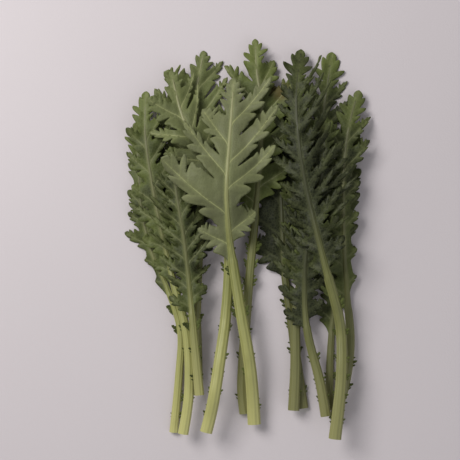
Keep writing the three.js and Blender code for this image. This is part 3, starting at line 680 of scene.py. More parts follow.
def measure_sheet(stem):
    """Adds where each point of a sheet lies along the stem, and how far from rib, vein and margin."""
    plan = stem["plan"]
    index, off = nearest(plan, stem["spine"])
    s = index * LINE_STEP
    width = rib_width(stem, s)
    stem["on_stalk"] = (s < stem["foot"]) & (off < width / 2 + STRIP_MARGIN)
    inner = np.clip(1 - (off / (width / 2)) ** 2, 0, 1)
    stem["half"] = np.maximum(RIB_DEPTH * width / 2 * np.sqrt(inner), LEAF_THICKNESS / 2)
    stem["to_rib"] = np.maximum(off - width / 2, 0)
    stem["to_strong"] = distance_to(plan, [line for line, strong in stem["veins"] if strong])
    stem["to_fine"] = distance_to(plan, [line for line, strong in stem["veins"] if not strong])
    stem["to_margin"] = distance_to(plan, [stem["outline"]])


for stem in STEMS.values():
    measure_sheet(stem)
print("points in each sheet:", [len(stem["plan"]) for stem in STEMS.values()])

# %% Shape the blades
BULGE, BULGE_REACH = 0.5, 1.7  # height of the blade between veins, and distance over which it rises
FINE_VEIN_HOLD = 0.35  # how much less a fine vein holds the blade down, in mm of distance
PUCKER, PUCKER_LENGTH = 0.14, 2.6  # fine unevenness
RUFFLE = 0.55, 0.75  # height of the margin's waves on a flat stem, and more for each unit of curl
RUFFLE_LENGTH, CURL_SHORTENS = 11, 0.5  # length of such a wave on a flat stem, and how curl shortens it
RUFFLE_POWER, RUFFLE_SEED = 1.5, 0.5  # how it grows to the margin, and what sets its noise apart
MARGIN = 5.5  # width of the ruffled strip
NOISE_RANGE = 1.6  # brings smooth noise to about -1 to 1
TWIST = 0.55  # steepest slope across a twisted lobe, for each unit of curl
TWIST_REACH = 3.5  # distance from a lobe's vein up to which its twist lifts it
TWIST_RISE = 4  # distance over which the twist sets in, out from where the lobes are joined


def waves(plan, length, seed):
    """Smooth noise over a plan."""
    return np.array([noise.noise((x / length, y / length, seed)) for x, y in plan]) * NOISE_RANGE


def lobe_twists(stem):
    """Height that each point gains or loses because its lobe is turned about its own vein."""
    lines = [line for line, strong in stem["veins"] if strong]
    spots = np.vstack(lines)
    ahead = np.vstack([np.gradient(line, axis=0) for line in lines])
    ahead /= np.linalg.norm(ahead, axis=1)[:, None]
    draws = [np.full(len(line), vary(stem["number"], TWIST_KEY + k)) for k, line in enumerate(lines)]
    near, _ = nearest(stem["plan"], spots)
    offset = stem["plan"] - spots[near]
    aside = ahead[near, 0] * offset[:, 1] - ahead[near, 1] * offset[:, 0]
    joined = stem["web"] * max(max(side) for side in stem["lengths"])
    free = np.clip((stem["to_rib"] - joined) / TWIST_RISE, 0, 1)
    slope = TWIST * stem["curl"] * np.concatenate(draws)[near]
    return slope * np.clip(aside, -TWIST_REACH, TWIST_REACH) * free


def shape_blade(stem):
    """Height of each point over the smooth sheet."""
    plan, number, curl = stem["plan"], stem["number"], stem["curl"]
    to_vein = np.minimum(np.minimum(stem["to_rib"], stem["to_strong"]), stem["to_fine"] + FINE_VEIN_HOLD)
    between = 1 - np.exp(-((to_vein / BULGE_REACH) ** 2))
    edge = np.clip(1 - stem["to_margin"] / MARGIN, 0, 1)
    ruffle = RUFFLE[0] + RUFFLE[1] * curl
    fine = BULGE * between * (1 - edge**2) + PUCKER * between * waves(plan, PUCKER_LENGTH, number)
    length = RUFFLE_LENGTH / (1 + CURL_SHORTENS * curl)
    fine += ruffle * edge**RUFFLE_POWER * waves(plan, length, number + RUFFLE_SEED)
    fine += lobe_twists(stem)
    return np.where(stem["to_rib"] > 0, fine, 0)


for stem in STEMS.values():
    relief = shape_blade(stem)
    stem["z"] += relief
print("relief of the top blade, mm:", relief.min().round(1), "to", relief.max().round(1))

# %% [markdown]
# Settling the pile
#
# The fine shapes stand a millimetre or two off the faceted ones, so a sheet could cut through the
# one above it. The stems are settled once more, from the bottom up. A grid holds the height of what
# already lies there. Where a sheet is too low it is lifted, and the lift is spread over its
# neighbourhood so that no step shows.

# %% Settle the fine sheets
CELL, AIR = 0.7, 0.12  # side of a grid cell, and gap between two leaves
RIM = 2  # empty cells round the grid
SPREAD_PASSES = 60


class Pile:
    """The height of the leaves that already lie, on a square grid."""

    def __init__(self, low, high):
        self.low = np.array(low) - RIM * CELL
        self.top = np.zeros(np.ceil((np.array(high) - self.low) / CELL).astype(int) + RIM + 1)

    def cells(self, plan):
        return tuple(np.floor((plan - self.low) / CELL).astype(int).T)

    def floor(self, plan):
        """Least height that clears the pile: the highest of each cell and the eight round it."""
        spread = np.where(self.top > 0, self.top + AIR, 0)
        for axis in (0, 1):
            spread = np.maximum.reduce([np.roll(spread, shift, axis) for shift in (-1, 0, 1)])
        return spread[self.cells(plan)]

    def add(self, plan, top):
        np.maximum.at(self.top, self.cells(plan), top)


corners = np.array(box_at_load)[:, :2] / MM
pile = Pile(corners[0], corners[1])
for name, stem in STEMS.items():
    spots = stem["plan"] + SHIFT
    short = np.maximum(pile.floor(spots) - (stem["z"] - stem["half"]), 0)
    lift = smoothed(short, stem["edges"], SPREAD_PASSES, short)
    stem["z"] = stem["z"] + lift
    pile.add(spots, stem["z"] + stem["half"])
    print(f"{name}: lifted by up to {lift.max():.2f} mm, top at {(stem['z'] + stem['half']).max():.1f} mm")

# %% [markdown]
# Expressions for node trees
#
# Both the shapes and the finishes below need sums and products on node sockets. A small class wraps
# a node's output so that ordinary operators add the Math nodes. Every other node comes from one
# method that makes its settings first and then fills its sockets.

# %% Wrap sockets and nodes
class Wire:
    """A node's output. Operators on it add Math nodes to its tree."""

    def __init__(self, bench, socket):
        self.bench, self.socket = bench, socket

    def math(self, operation, *others, order=1):
        values = dict(enumerate((self, *others)[::order]))
        return self.bench.add("ShaderNodeMath", values, operation=operation)

    def __add__(self, other):
        return self.math("ADD", other)

    def __mul__(self, other):
        return self.math("MULTIPLY", other)

    def __sub__(self, other):
        return self.math("SUBTRACT", other)

    def __rsub__(self, other):
        return self.math("SUBTRACT", other, order=-1)

    def __pow__(self, other):
        return self.math("POWER", other)

    __radd__, __rmul__ = __add__, __mul__

    def sine(self):
        return self.math("SINE")

    def cosine(self):
        return self.math("COSINE")

    def clamped(self):
        return self.bench.add("ShaderNodeClamp", {"Value": self})


class Bench:
    """A node tree, and the one way in which nodes are added to it."""

    def __init__(self, tree):
        self.tree = tree

    def add(self, kind, values=None, out=0, **settings):
        """Adds a node with these values on its sockets and these settings, and gives one output."""
        node = self.tree.nodes.new(kind)
        for name, value in settings.items():
            setattr(node, name, value)
        for name, value in (values or {}).items():
            if isinstance(value, Wire):
                self.tree.links.new(value.socket, node.inputs[name])
            else:
                node.inputs[name].default_value = value
        return Wire(self, node.outputs[out]) if node.outputs else None


print("operators ready:", [word for word in vars(Wire) if word.startswith("__r")])

# %% [markdown]
# Running a geometry tree
#
# The stalks, veins and ears below are grown by geometry trees. Each tree has named inputs, works on
# a mesh of lines or points, and ends in real geometry in one material. A modifier would keep the
# tree live, but each piece has to be a plain mesh in the end. So the tree runs once on a
# throwaway object, and only the mesh that comes out is kept.

# %% Build and run geometry trees
def geometry_bench(name, inputs):
    """A geometry tree with one geometry in and out, and named inputs with their kinds and values."""
    tree = bpy.data.node_groups.new(name, "GeometryNodeTree")
    tree.interface.new_socket("Geometry", in_out="INPUT", socket_type="NodeSocketGeometry")
    tree.interface.new_socket("Geometry", in_out="OUTPUT", socket_type="NodeSocketGeometry")
    for label, (kind, value) in inputs.items():
        socket = tree.interface.new_socket(label, in_out="INPUT", socket_type="NodeSocket" + kind)
        if value is not None:
            socket.default_value = value
    return Bench(tree)


def given(bench, label="Geometry"):
    """One of a geometry tree's own inputs."""
    return bench.add("NodeGroupInput", out=label)


def close_tree(bench, geometry):
    """Every tree ends alike: real geometry, smooth, in the material that was asked for."""
    real = bench.add("GeometryNodeRealizeInstances", {"Geometry": geometry})
    smooth = bench.add("GeometryNodeSetShadeSmooth", {"Geometry": real})
    finished = {"Geometry": smooth, "Material": given(bench, "Material")}
    bench.add("NodeGroupOutput", {"Geometry": bench.add("GeometryNodeSetMaterial", finished)})
    return bench.tree


def named_number(bench, label):
    """A number that was kept on the mesh under a name, for a geometry tree."""
    return bench.add("GeometryNodeInputNamedAttribute", {"Name": label}, data_type="FLOAT")


def new_mesh(name, spots, edges=(), faces=(), **values):
    """A mesh with numbers kept on its points, for the node trees and finishes to read."""
    mesh = bpy.data.meshes.new(name)
    mesh.from_pydata(spots, edges, faces)
    for label, numbers in values.items():
        mesh.attributes.new(label, "FLOAT", "POINT").data.foreach_set("value", numbers)
    return mesh


def add_object(name, data):
    thing = bpy.data.objects.new(name, data)
    scene.collection.objects.link(thing)
    return thing


def plain_mesh(thing):
    """A new mesh of an object as its modifiers leave it."""
    evaluated = thing.evaluated_get(bpy.context.evaluated_depsgraph_get())
    return bpy.data.meshes.new_from_object(evaluated)


def grow(name, mesh, tree, inputs):
    """Runs a geometry tree on a mesh and gives the result as a plain mesh."""
    carrier = add_object(name, mesh)
    modifier = carrier.modifiers.new("grow", "NODES")
    modifier.node_group = tree
    for item in tree.interface.items_tree:
        if item.item_type == "SOCKET" and item.in_out == "INPUT" and item.name in inputs:
            modifier[item.identifier] = inputs[item.name]
    grown = plain_mesh(carrier)
    bpy.data.objects.remove(carrier)
    return grown


print("node trees so far:", len(bpy.data.node_groups))

# %% [markdown]
# Tones
#
# One bunch holds old and young leaves. Old blades are a dull, deep green and young ones paler and
# yellower, and stalks and midribs differ in the same way. The low tones also paint shade: the stems
# on the right and those low in the pile are made darker because they lie in shade. Each stem gets a
# number for its blade, its stalk and its midrib, so that a few finishes serve the whole bunch. Some
# leaves get a painted grey haze of scattered light, and two share a browned patch.

# %% Tones
# from 0, deep and dark, to 1, pale and yellowish: the blade, the stalk, the midrib
# low numbers are painted shade on the stems at the right and low in the pile, as well as age
TONES = {
    "left_low": (0.25, 0.5, 0.2),
    "middle_low": (0.05, 0.3, 0.1),
    "far_right": (0.45, 0.35, 0.4),
    "far_left": (0.6, 1.0, 0.5),
    "top_left": (0.9, 0.5, 0.8),
    "top_right": (0.5, 0.35, 0.3),
    "right": (0.5, 0.4, 0.4),
    "left": (0.6, 1.0, 0.5),
    "top_middle": (0.8, 0.5, 0.75),
    "right_of_middle": (0.0, 0.4, 0.05),
    "inner_right": (0.1, 0.5, 0.05),
    "left_of_middle": (0.4, 0.7, 0.4),
    "upper_left": (0.8, 0.9, 0.9),
    "middle": (0.95, 0.85, 1.0),
}
PAINTED_HAZE = {"middle": 0.55, "upper_left": 0.3, "top_left": 0.15}  # share of painted grey haze, a veil of scattered light over the leaf's colour
WILTED = {"middle_low": (19, 84), "top_middle": (21, 83)}  # mm in plan, the middle of a browned patch
for name, stem in STEMS.items():
    stem["blade_tone"], *stem["rib_tones"] = TONES[name]
    stem["bloom"], stem["wilted"] = PAINTED_HAZE.get(name, 0), WILTED.get(name)
print("palest blade:", max(STEMS, key=lambda name: STEMS[name]["blade_tone"]))

# %% [markdown]
# The leaf's finish
#
# Close up, a leaf is mottled, has a fine net of cells and paler lines along its veins. A photograph
# laid over it would show one leaf's pattern on all, so the patterns are worked out: noise for the
# mottling, Voronoi cells for the net, and numbers kept on the mesh for what follows the veins and the
# margin. The weights in each sum say how much these count.
#
# Colours are given as they look on a screen and turned into the linear values that a shader needs.
# Patterns are read in Object coordinates, in metres, so a noise scale of 100 makes spots about a
# centimetre across.

# %% Leaf finish
# a grey for the painted haze of scattered light, and the brown of a wilted patch
HAZE_GREY, BROWN = (112, 113, 88), (90, 80, 42)
BUMP_STRENGTH = 0.8
LEAF_RELIEF, STALK_RELIEF, CUT_RELIEF, FLOOR_RELIEF = 0.00025, 0.0002, 0.0003, 0.0001  # metres


def colour(red, green, blue):
    """A screen colour from 0 to 255 as a linear shader colour."""
    parts = [c / 255 for c in (red, green, blue)]
    return tuple(((c + 0.055) / 1.055) ** 2.4 if c > 0.04 else c / 12.92 for c in parts)


def blend(bench, share, a, b):
    """A colour between two others, each one a wire or a screen colour."""
    a, b = (end if isinstance(end, Wire) else (*colour(*end), 1) for end in (a, b))
    return bench.add("ShaderNodeMix", {0: share, 6: a, 7: b}, out=2, data_type="RGBA")


def finish_bench(name):
    material = bpy.data.materials.new(name)
    material.use_nodes = True
    material.node_tree.nodes.clear()
    bench = Bench(material.node_tree)
    bench.material = material
    bench.here = bench.add("ShaderNodeTexCoord", out="Object")
    return bench


def noise_on(bench, scale, detail=2, rough=0.5, where=None):
    values = {"Vector": where or bench.here, "Scale": scale, "Detail": detail, "Roughness": rough}
    return bench.add("ShaderNodeTexNoise", values, out="Fac")


def kept(bench, label):
    """A number that was kept on the mesh under a name, for a finish."""
    return bench.add("ShaderNodeAttribute", out="Fac", attribute_name=label)


def close_finish(bench, base, roughness, height, relief, specular=0.22):
    """Height runs from 0 to 1 and stands for relief metres."""
    depth = {"Height": height, "Distance": relief, "Strength": BUMP_STRENGTH}
    bump = bench.add("ShaderNodeBump", depth)
    values = {"Base Color": base, "Roughness": roughness, "Normal": bump, "Specular IOR Level": specular}
    shader = bench.add("ShaderNodeBsdfPrincipled", values)
    bench.add("ShaderNodeOutputMaterial", {"Surface": shader})
    return bench.material


def leaf_finish(name, deep, young, vein_colour, paleness):
    bench = finish_bench(name)
    patches = noise_on(bench, scale=45)
    mottle = noise_on(bench, scale=260, detail=4, rough=0.6)
    spaced = {"Vector": bench.here, "Scale": 620}
    cells = bench.add("ShaderNodeTexVoronoi", spaced, out="Distance", feature="DISTANCE_TO_EDGE")
    net = 1 - (cells * 5).clamped()
    vein, tone, margin, bloom, wilt = (
        kept(bench, label) for label in ("vein", "tone", "margin", "bloom", "wilt"))
    # how pale the blade is: noise patches, the margin, and the tone, which is painted shade on stems that lie
    # in shade and painted light near the tips
    youth_and_painted_light = (patches * 1.4 + mottle * 0.6 + tone + margin * 0.15 - 1.2).clamped()
    base = blend(bench, youth_and_painted_light, deep, young)
    # painted haze: a grey veil of scattered light over some leaves
    base = blend(bench, bloom, base, HAZE_GREY)
    base = blend(bench, net * 0.10, base, vein_colour)
    base = blend(bench, (vein * paleness).clamped(), base, vein_colour)
    base = blend(bench, (wilt * (0.6 + mottle * 0.6)).clamped(), base, BROWN)
    height = mottle * 0.5 + (1 - net) * 0.3 + (1 - vein) * 0.2
    return close_finish(bench, base, 0.46 + mottle * 0.2, height, LEAF_RELIEF)


# the deep colour is dark enough to stand for blades in shade: partly painted shade
upper_finish = leaf_finish("leaf_upper_side", deep=(27, 32, 12), young=(93, 103, 50),
                           vein_colour=(134, 139, 94), paleness=0.6)
under_finish = leaf_finish("leaf_under_side", deep=(54, 64, 38), young=(104, 114, 70),
                           vein_colour=(138, 142, 100), paleness=0.65)
print("finishes:", upper_finish.name, under_finish.name)

# %% [markdown]
# The stalk's finishes
#
# A stalk is a paler green, streaked along its length. Its ribs are painted paler and its grooves
# darker, as painted light and shade that follow the relief. It is palest where it was cut, and
# inside the blade it fades to the colour of the veins. A low tone draws it toward a shade colour,
# which is painted shade on stalks that lie in shade. Streaks are noise that is stretched along Y,
# because all stalks lie roughly along Y. The cut face shows whitish pith with a greener speckle.

# %% Stalk finishes
PALE_RIB = (166, 166, 126)
STREAK_STRETCH = 1, 0.06, 1


def stalk_finish(name, dark, light, cut_side, shade, specular):
    bench = finish_bench(name)
    tone, ridge, along = (kept(bench, label) for label in ("tone", "ridge", "along"))
    placed = {"Vector": bench.here, "Scale": STREAK_STRETCH}
    stretched = bench.add("ShaderNodeMapping", placed)
    streaks = noise_on(bench, scale=900, detail=3, rough=0.6, where=stretched)
    patches = noise_on(bench, scale=60)
    # ribs paler and grooves darker: painted light and shade that follow the relief, with the streaks and
    # patches
    base = blend(bench, (ridge * 0.35 + streaks * 0.8 + patches * 0.4 - 0.35).clamped(), dark, light)
    near_cut, in_blade = (1 - along * 2.2).clamped(), (along * 2.5 - 1.1).clamped()
    base = blend(bench, near_cut * 0.75, base, cut_side)
    base = blend(bench, in_blade * 0.7, base, PALE_RIB)
    # a low tone draws the stalk toward the shade colour: painted shade on stalks that lie in shade
    base = blend(bench, tone, shade, base)
    height = streaks * 0.6 + ridge * 0.4
    return close_finish(bench, base, 0.38 + streaks * 0.18, height, STALK_RELIEF, specular)


def cut_finish(name, pith, rind):
    bench = finish_bench(name)
    specks = noise_on(bench, scale=1500, detail=3, rough=0.7)
    base = blend(bench, (specks * 1.6 - 0.4).clamped(), pith, rind)
    return close_finish(bench, base, 0.5 + specks * 0.2, specks, CUT_RELIEF)


stalk = stalk_finish("stalk", dark=(118, 123, 60), light=(188, 189, 112), cut_side=(190, 186, 122),
                     shade=(46, 50, 22), specular=0.5)
midrib = stalk_finish("midrib", dark=(116, 122, 70), light=(154, 158, 106), cut_side=(148, 152, 96),
                      shade=(36, 44, 20), specular=0.25)
cut_face = cut_finish("cut_face", pith=(214, 220, 178), rind=(176, 190, 120))
print("finishes:", stalk.name, midrib.name, cut_face.name)

# %% [markdown]
# Stalks, midribs and veins
#
# They all do the same thing: follow a line and thin as they go. One geometry tree sweeps a profile
# along every line of a mesh. The profile is a flattened ring, and on a stalk it has fine and broad
# ribs round it and a shallow channel along the top. Each line carries its own thickness in an
# attribute, so the tree serves a stalk of seven millimetres and a vein of half a millimetre.

# %% Build the sweep
RIB_SHARES = 0.6, 0.4  # of the ribs' height, for the fine and the broad ones
BROAD_PHASE = 0.8  # radians by which the broad ribs are turned against the fine ones
CHANNEL_NARROWS = 8  # power of a sine: the higher, the narrower the channel


def sweep_tree():
    bench = geometry_bench("sweep", {
        "Material": ("Material", None),
        "Sides": ("Int", 8),
        "Flatness": ("Float", RIB_DEPTH),
        "Ribs": ("Float", 0.0),
        "Broad ribs": ("Float", 0.0),
        "Rib height": ("Float", 0.0),
        "Channel": ("Float", 0.0),
    })
    lines = bench.add("GeometryNodeMeshToCurve", {"Mesh": given(bench)})
    level = bench.add("GeometryNodeSetCurveNormal", {"Curve": lines}, mode="Z_UP")
    circle = {"Resolution": given(bench, "Sides"), "Radius": 1.0}
    ring = bench.add("GeometryNodeCurvePrimitiveCircle", circle)
    angle = bench.add("GeometryNodeSplineParameter", out="Factor") * (2 * math.pi)
    fine = (angle * given(bench, "Ribs")).cosine()
    broad = (angle * given(bench, "Broad ribs") + BROAD_PHASE).cosine()
    ribs = fine * RIB_SHARES[0] + broad * RIB_SHARES[1]
    channel = angle.sine().math("MAXIMUM", 0.0) ** CHANNEL_NARROWS
    radius = 1 + ribs * given(bench, "Rib height") - channel * given(bench, "Channel")
    place = {"X": radius * angle.cosine(), "Y": radius * angle.sine() * given(bench, "Flatness")}
    where = bench.add("ShaderNodeCombineXYZ", place)
    profile = bench.add("GeometryNodeSetPosition", {"Geometry": ring, "Position": where})
    ridge = {"Geometry": profile, "Name": "ridge", "Value": ribs * 0.5 + 0.5}
    profile = bench.add("GeometryNodeStoreNamedAttribute", ridge, data_type="FLOAT", domain="POINT")
    girth = named_number(bench, "girth")
    swept = {"Curve": level, "Profile Curve": profile, "Scale": girth, "Fill Caps": True}
    return close_tree(bench, bench.add("GeometryNodeCurveToMesh", swept))


def line_mesh(name, lines):
    """Lines in space as one mesh, from each line's points, radii, places along the stem and tones."""
    spots, edges, girth, along, tone = [], [], [], [], []
    for points, radius, place, shade in lines:
        edges += [(len(spots) + k, len(spots) + k + 1) for k in range(len(points) - 1)]
        spots += (np.array(points) * MM).tolist()
        girth += (np.array(radius) * MM).tolist()
        along += list(place)
        tone += list(shade)
    return new_mesh(name, spots, edges, girth=girth, along=along, tone=tone)


sweep = sweep_tree()
print("the sweep has", len(sweep.nodes), "nodes")

# %% Raise the lines to their blades
HEIGHT_POINTS, HEIGHT_BLUR = 3, 0.02  # points of a sheet that give a height, mm added to their distances
RIB_AVERAGE = 7  # points over which the midrib's height is evened out
RIB_STOP = 2.5  # how far before the leaf's tip the midrib ends
RIB_POINT, RIB_POINT_CURVE = 0.3, 0.7  # share of its width that is left there, and how it thins to that
RIB_FADE = 0.3  # share of the blade over which the midrib takes on its own tone
# painted shade that deepens up the stalk towards the blade, where the leaves crowd round it
STALK_PAINTED_SHADE = 0.3  # share of its paleness that a stalk loses up to the blade


def height_finder(stem):
    """A function that gives the settled sheet's middle height at a point of the plan."""
    tree = finder(stem["plan"])

    def height(spot):
        found = tree.find_n((*spot, 0), HEIGHT_POINTS)
        weights = np.array([1 / (distance + HEIGHT_BLUR) for _, _, distance in found])
        return float(stem["z"][[index for _, index, _ in found]] @ weights / weights.sum())

    return height


def raise_line(stem, line, lift=0.0):
    return np.array([(*(spot + SHIFT), stem["height"](spot) + lift) for spot in line])


def rib_line(stem):
    """The stalk and midrib as one line, thinned to a point where the vein of the end lobe runs out."""
    path, foot = stem["line"], stem["foot"]
    s = np.arange(0, path.length - RIB_STOP, LINE_STEP)
    spots = raise_line(stem, path.at(s))
    padded = np.pad(spots[:, 2], RIB_AVERAGE // 2, "edge")
    spots[:, 2] = np.convolve(padded, np.ones(RIB_AVERAGE) / RIB_AVERAGE, "valid")
    end = np.clip((path.length - RIB_STOP - s) / (END_LOBE * stem["blade"]), 0, 1)
    thinned = RIB_POINT + (1 - RIB_POINT) * end**RIB_POINT_CURVE
    radius = rib_width(stem, s) / 2 * np.where(end < 1, thinned, 1)
    into_blade = np.clip((s - foot) / (RIB_FADE * stem["blade"]), 0, 1)
    # painted shade, darker up the stalk towards the blade
    shaded_toward_blade = 1 - STALK_PAINTED_SHADE * np.minimum(s / foot, 1)
    # the tone carries painted shade for stalks and midribs that lie in shade
    return spots, radius, s / path.length, mix(*stem["rib_tones"], into_blade) * shaded_toward_blade


for stem in STEMS.values():
    stem["height"] = height_finder(stem)
spots, radius, *_ = rib_line(STEMS["middle"])
print("middle stalk:", len(spots), "points, radius", radius.max().round(2), "to", radius.min().round(2), "mm")

# %% [markdown]
# Ears on the stalk
#
# Below the blade the stalk keeps small remains of lobes, which growers call ears: toothed flaps a few
# millimetres long, turned up and pointing forward. One small flap is modelled, and a second geometry
# tree sets a turned and scaled copy on every point that it is given. Copies are made real at
# the end, because an exported model keeps only real meshes.

# %% Shape one ear
EAR_TONE = 0.85
EAR_HALF_WIDTHS = 0.24, 0.30, 0.18, 0.30, 0.16, 0.22, 0.08  # from root to tip, in lengths of the ear
EAR_LAST_ROW, EAR_TIP = 0.92, (0, 1.0, 0.36)
EAR_BEND, EAR_CUP, EAR_KEEL = 0.35, 0.10, 0.03  # how far it bends up, its edges rise and its middle sinks
EAR_THICKNESS = 0.09


def ear_shape():
    """A toothed flap one unit long that grows along +Y from the origin and bends up."""
    places = np.linspace(0, EAR_LAST_ROW, len(EAR_HALF_WIDTHS))
    spots, faces = [], []
    for w, y in zip(EAR_HALF_WIDTHS, places):
        rise = EAR_CUP * w + EAR_BEND * y * y
        spots += [(-w, y, rise), (0, y, EAR_BEND * y * y - EAR_KEEL), (w, y, rise)]
    for a in range(0, len(spots) - 3, 3):
        faces += [(a, a + 1, a + 4, a + 3), (a + 1, a + 2, a + 5, a + 4)]
    tip = len(spots)
    spots.append(EAR_TIP)
    faces += [(tip - 3, tip - 2, tip), (tip - 2, tip - 1, tip)]
    flap = add_object("ear", new_mesh("ear", spots, [], faces, tone=[EAR_TONE] * len(spots)))
    skin = flap.modifiers.new("skin", "SOLIDIFY")
    skin.thickness, skin.offset = EAR_THICKNESS, 0
    return flap


ear = ear_shape()
print("an ear has", len(ear.data.polygons), "faces before its thickness")

# %% Plant ears along the stalk
EAR_SIZE, EAR_SIZE_VARIES = (2.0, 4.8), 0.4  # mm, its length near the cut end and near the blade
EAR_BACK = 1.2  # how far before the end of its station an ear stands
SECOND_EAR = -2.0, 0.7  # a smaller one beside it: how far along, and its size as a share
THIRD_EAR = 4, 2, 0.55, 0.5  # on some, one more: how far along, how much that varies, size, draw
EAR_MISSING = -0.4  # draws below this leave an ear out
EAR_DRAWS = 1, 5, 9, 13, 17, 19  # steps of the key for each number that is drawn for an ear
EAR_CLEAR = 2  # mm from the cut end and from the blade without ears
EAR_ROOT = 0.86, 0.1  # share of the stalk's half width at which it is rooted, and mm it is sunk in
EAR_TURN, EAR_LIFT = (48, 16), (8, 14)  # degrees out from the stalk and up, and how much these vary


def ear_tree():
    bench = geometry_bench("plant_ears", {"Material": ("Material", None), "Ear": ("Object", None)})
    flap = bench.add("GeometryNodeObjectInfo", {"Object": given(bench, "Ear")}, out="Geometry")
    turn, tip_up, size = (named_number(bench, label) for label in ("turn", "tip_up", "size"))
    turned_up = bench.add("ShaderNodeCombineXYZ", {"X": tip_up, "Z": turn})
    points = bench.add("GeometryNodeMeshToPoints", {"Mesh": given(bench)})
    copies = {"Points": points, "Instance": flap, "Rotation": turned_up, "Scale": size}
    return close_tree(bench, bench.add("GeometryNodeInstanceOnPoints", copies))


def ear_rows(stem):
    """Each ear's place along the stem, its side, its size, and the draw for its turn and lift."""
    number, rows = stem["number"], []
    for k in stem["ears"]:
        for side in (LEFT, RIGHT):
            present, growth, turn, second_turn, third, shift = (
                vary(number, k + step * side) for step in EAR_DRAWS)
            if present < EAR_MISSING:
                continue
            s = stem["places"][k + 1] - EAR_BACK
            size = mix(*EAR_SIZE, (s / stem["foot"]) ** 2) * (1 + EAR_SIZE_VARIES * growth)
            rows.append((s, side, size, turn))
            along, share = SECOND_EAR
            rows.append((s + along, side, share * size, second_turn))
            if third > 0:
                along, varies, share, draw = THIRD_EAR
                rows.append((s + along + varies * shift, side, share * size, draw))
    return rows


def ear_points(stem):
    """A mesh with a point for each ear, and its turn, lift and size."""
    path = stem["line"]
    spots, turns, lifts, sizes = [], [], [], []
    for s, side, size, draw in ear_rows(stem):
        s = min(max(s, EAR_CLEAR), stem["foot"] - EAR_CLEAR)
        edge = rib_edge(stem, s, side, EAR_ROOT[0])
        along = path.along(s)
        heading = math.atan2(along[1], along[0]) - math.pi / 2
        spots.append(Vector((*(edge + SHIFT), stem["height"](path.at(s)) - EAR_ROOT[1])) * MM)
        turns.append(heading + side * math.radians(EAR_TURN[0] + EAR_TURN[1] * draw))
        lifts.append(math.radians(EAR_LIFT[0] + EAR_LIFT[1] * draw))
        sizes.append(size * MM)
    return new_mesh("ear_points", spots, turn=turns, tip_up=lifts, size=sizes)


plant_ears = ear_tree()
print("ears on each stem:", [len(ear_rows(stem)) for stem in STEMS.values()])

# %% [markdown]
# Putting a stem together
#
# The blade gets its thickness from a Solidify modifier, with the paler finish underneath. Stalk,
# veins and ears are grown by the two trees. Everything that belongs to one leafy stem is joined in
# one piece, which stands for that stem's faceted solid.

# %% Make the blades
# Leaves turn paler towards the tip: painted light on tips that lie out of the shade, and paler young growth.
TIP_REACH, TIP_PALER = 32, 0.55  # mm from a leaf's tip over which it turns paler, and by how much
WILT_REACH = 5.5  # mm, radius of a browned patch
PALE_LINES = {"to_strong": (0.7, 1), "to_fine": (0.5, 0.5), "to_rib": (0.6, 1)}  # mm to a side, how pale
DARK_VEINS = 0.25  # share of that paleness where midribs are darkest
PALE_MARGIN = 2.5  # mm, width of the paler margin


def blade_piece(stem):
    faces = stem["faces"][~stem["on_stalk"][stem["faces"]].all(1)]
    used, faces = np.unique(faces, return_inverse=True)
    faces = faces.reshape(-1, 3)
    plan = stem["plan"][used]
    lines = [pale * np.exp(-((stem[way][used] / reach) ** 2)) for way, (reach, pale) in PALE_LINES.items()]
    # veins keep less paleness on stems with dark midribs: painted shade on stems that lie in shade
    vein = mix(DARK_VEINS, 1, stem["rib_tones"][1]) * np.max(lines, axis=0)
    margin = np.clip(1 - stem["to_margin"][used] / PALE_MARGIN, 0, 1)
    to_tip = np.linalg.norm(plan - stem["line"].at(stem["line"].length), axis=1)
    tone = stem["blade_tone"] + TIP_PALER * np.clip(1 - to_tip / TIP_REACH, 0, 1)
    wilt = np.zeros(len(used))
    if stem["wilted"]:
        wilt = np.exp(-(np.linalg.norm(plan - stem["wilted"], axis=1) / WILT_REACH) ** 4)
    bloom = np.full(len(used), stem["bloom"])
    spots = (np.c_[plan + SHIFT, stem["z"][used]] * MM).tolist()
    mesh = new_mesh("blade", spots, [], faces.tolist(), vein=vein, margin=margin,
                    tone=np.minimum(tone, 1), bloom=bloom, wilt=wilt)
    mesh.materials.append(upper_finish)
    mesh.materials.append(under_finish)
    mesh.polygons.foreach_set("use_smooth", [True] * len(faces))
    blade = add_object("blade", mesh)
    skin = blade.modifiers.new("skin", "SOLIDIFY")
    skin.thickness, skin.offset = LEAF_THICKNESS * MM, 0
    skin.material_offset, skin.material_offset_rim = 1, 0
    solid = plain_mesh(blade)
    blade.modifiers.clear()
    blade.data = solid
    return blade


blades = {name: blade_piece(stem) for name, stem in STEMS.items()}
print("faces of each blade:", [len(blade.data.polygons) for blade in blades.values()])

# %% Make the stalks and veins, and join each stem
STALK_SIZES = {"Sides": 54, "Flatness": RIB_DEPTH, "Ribs": 9.0, "Broad ribs": 4.0,
               "Rib height": 0.045, "Channel": 0.14}
VEIN_SIZES = {"Sides": 8, "Flatness": 0.8}
VEIN_RADIUS, VEIN_LIFT = (0.36, 0.2), 0.08  # mm, at the midrib and at the lobe's tip, and over the sheet
VEIN_PLACE = 0.6  # place along the stem that all veins have, for the finish


def stalk_piece(stem):
    """The stalk and midrib, with the finish of a cut face where the stalk was cut."""
    tube = grow("stalk", line_mesh("stalk", [rib_line(stem)]), sweep, {"Material": stalk, **STALK_SIZES})
    tube.materials.append(cut_face)
    ends = [face for face in tube.polygons if len(face.vertices) > 4]
    cut = min(ends, key=lambda face: face.center.y)
    cut.material_index = 1
    cut.use_smooth = False
    return add_object("stalk", tube)


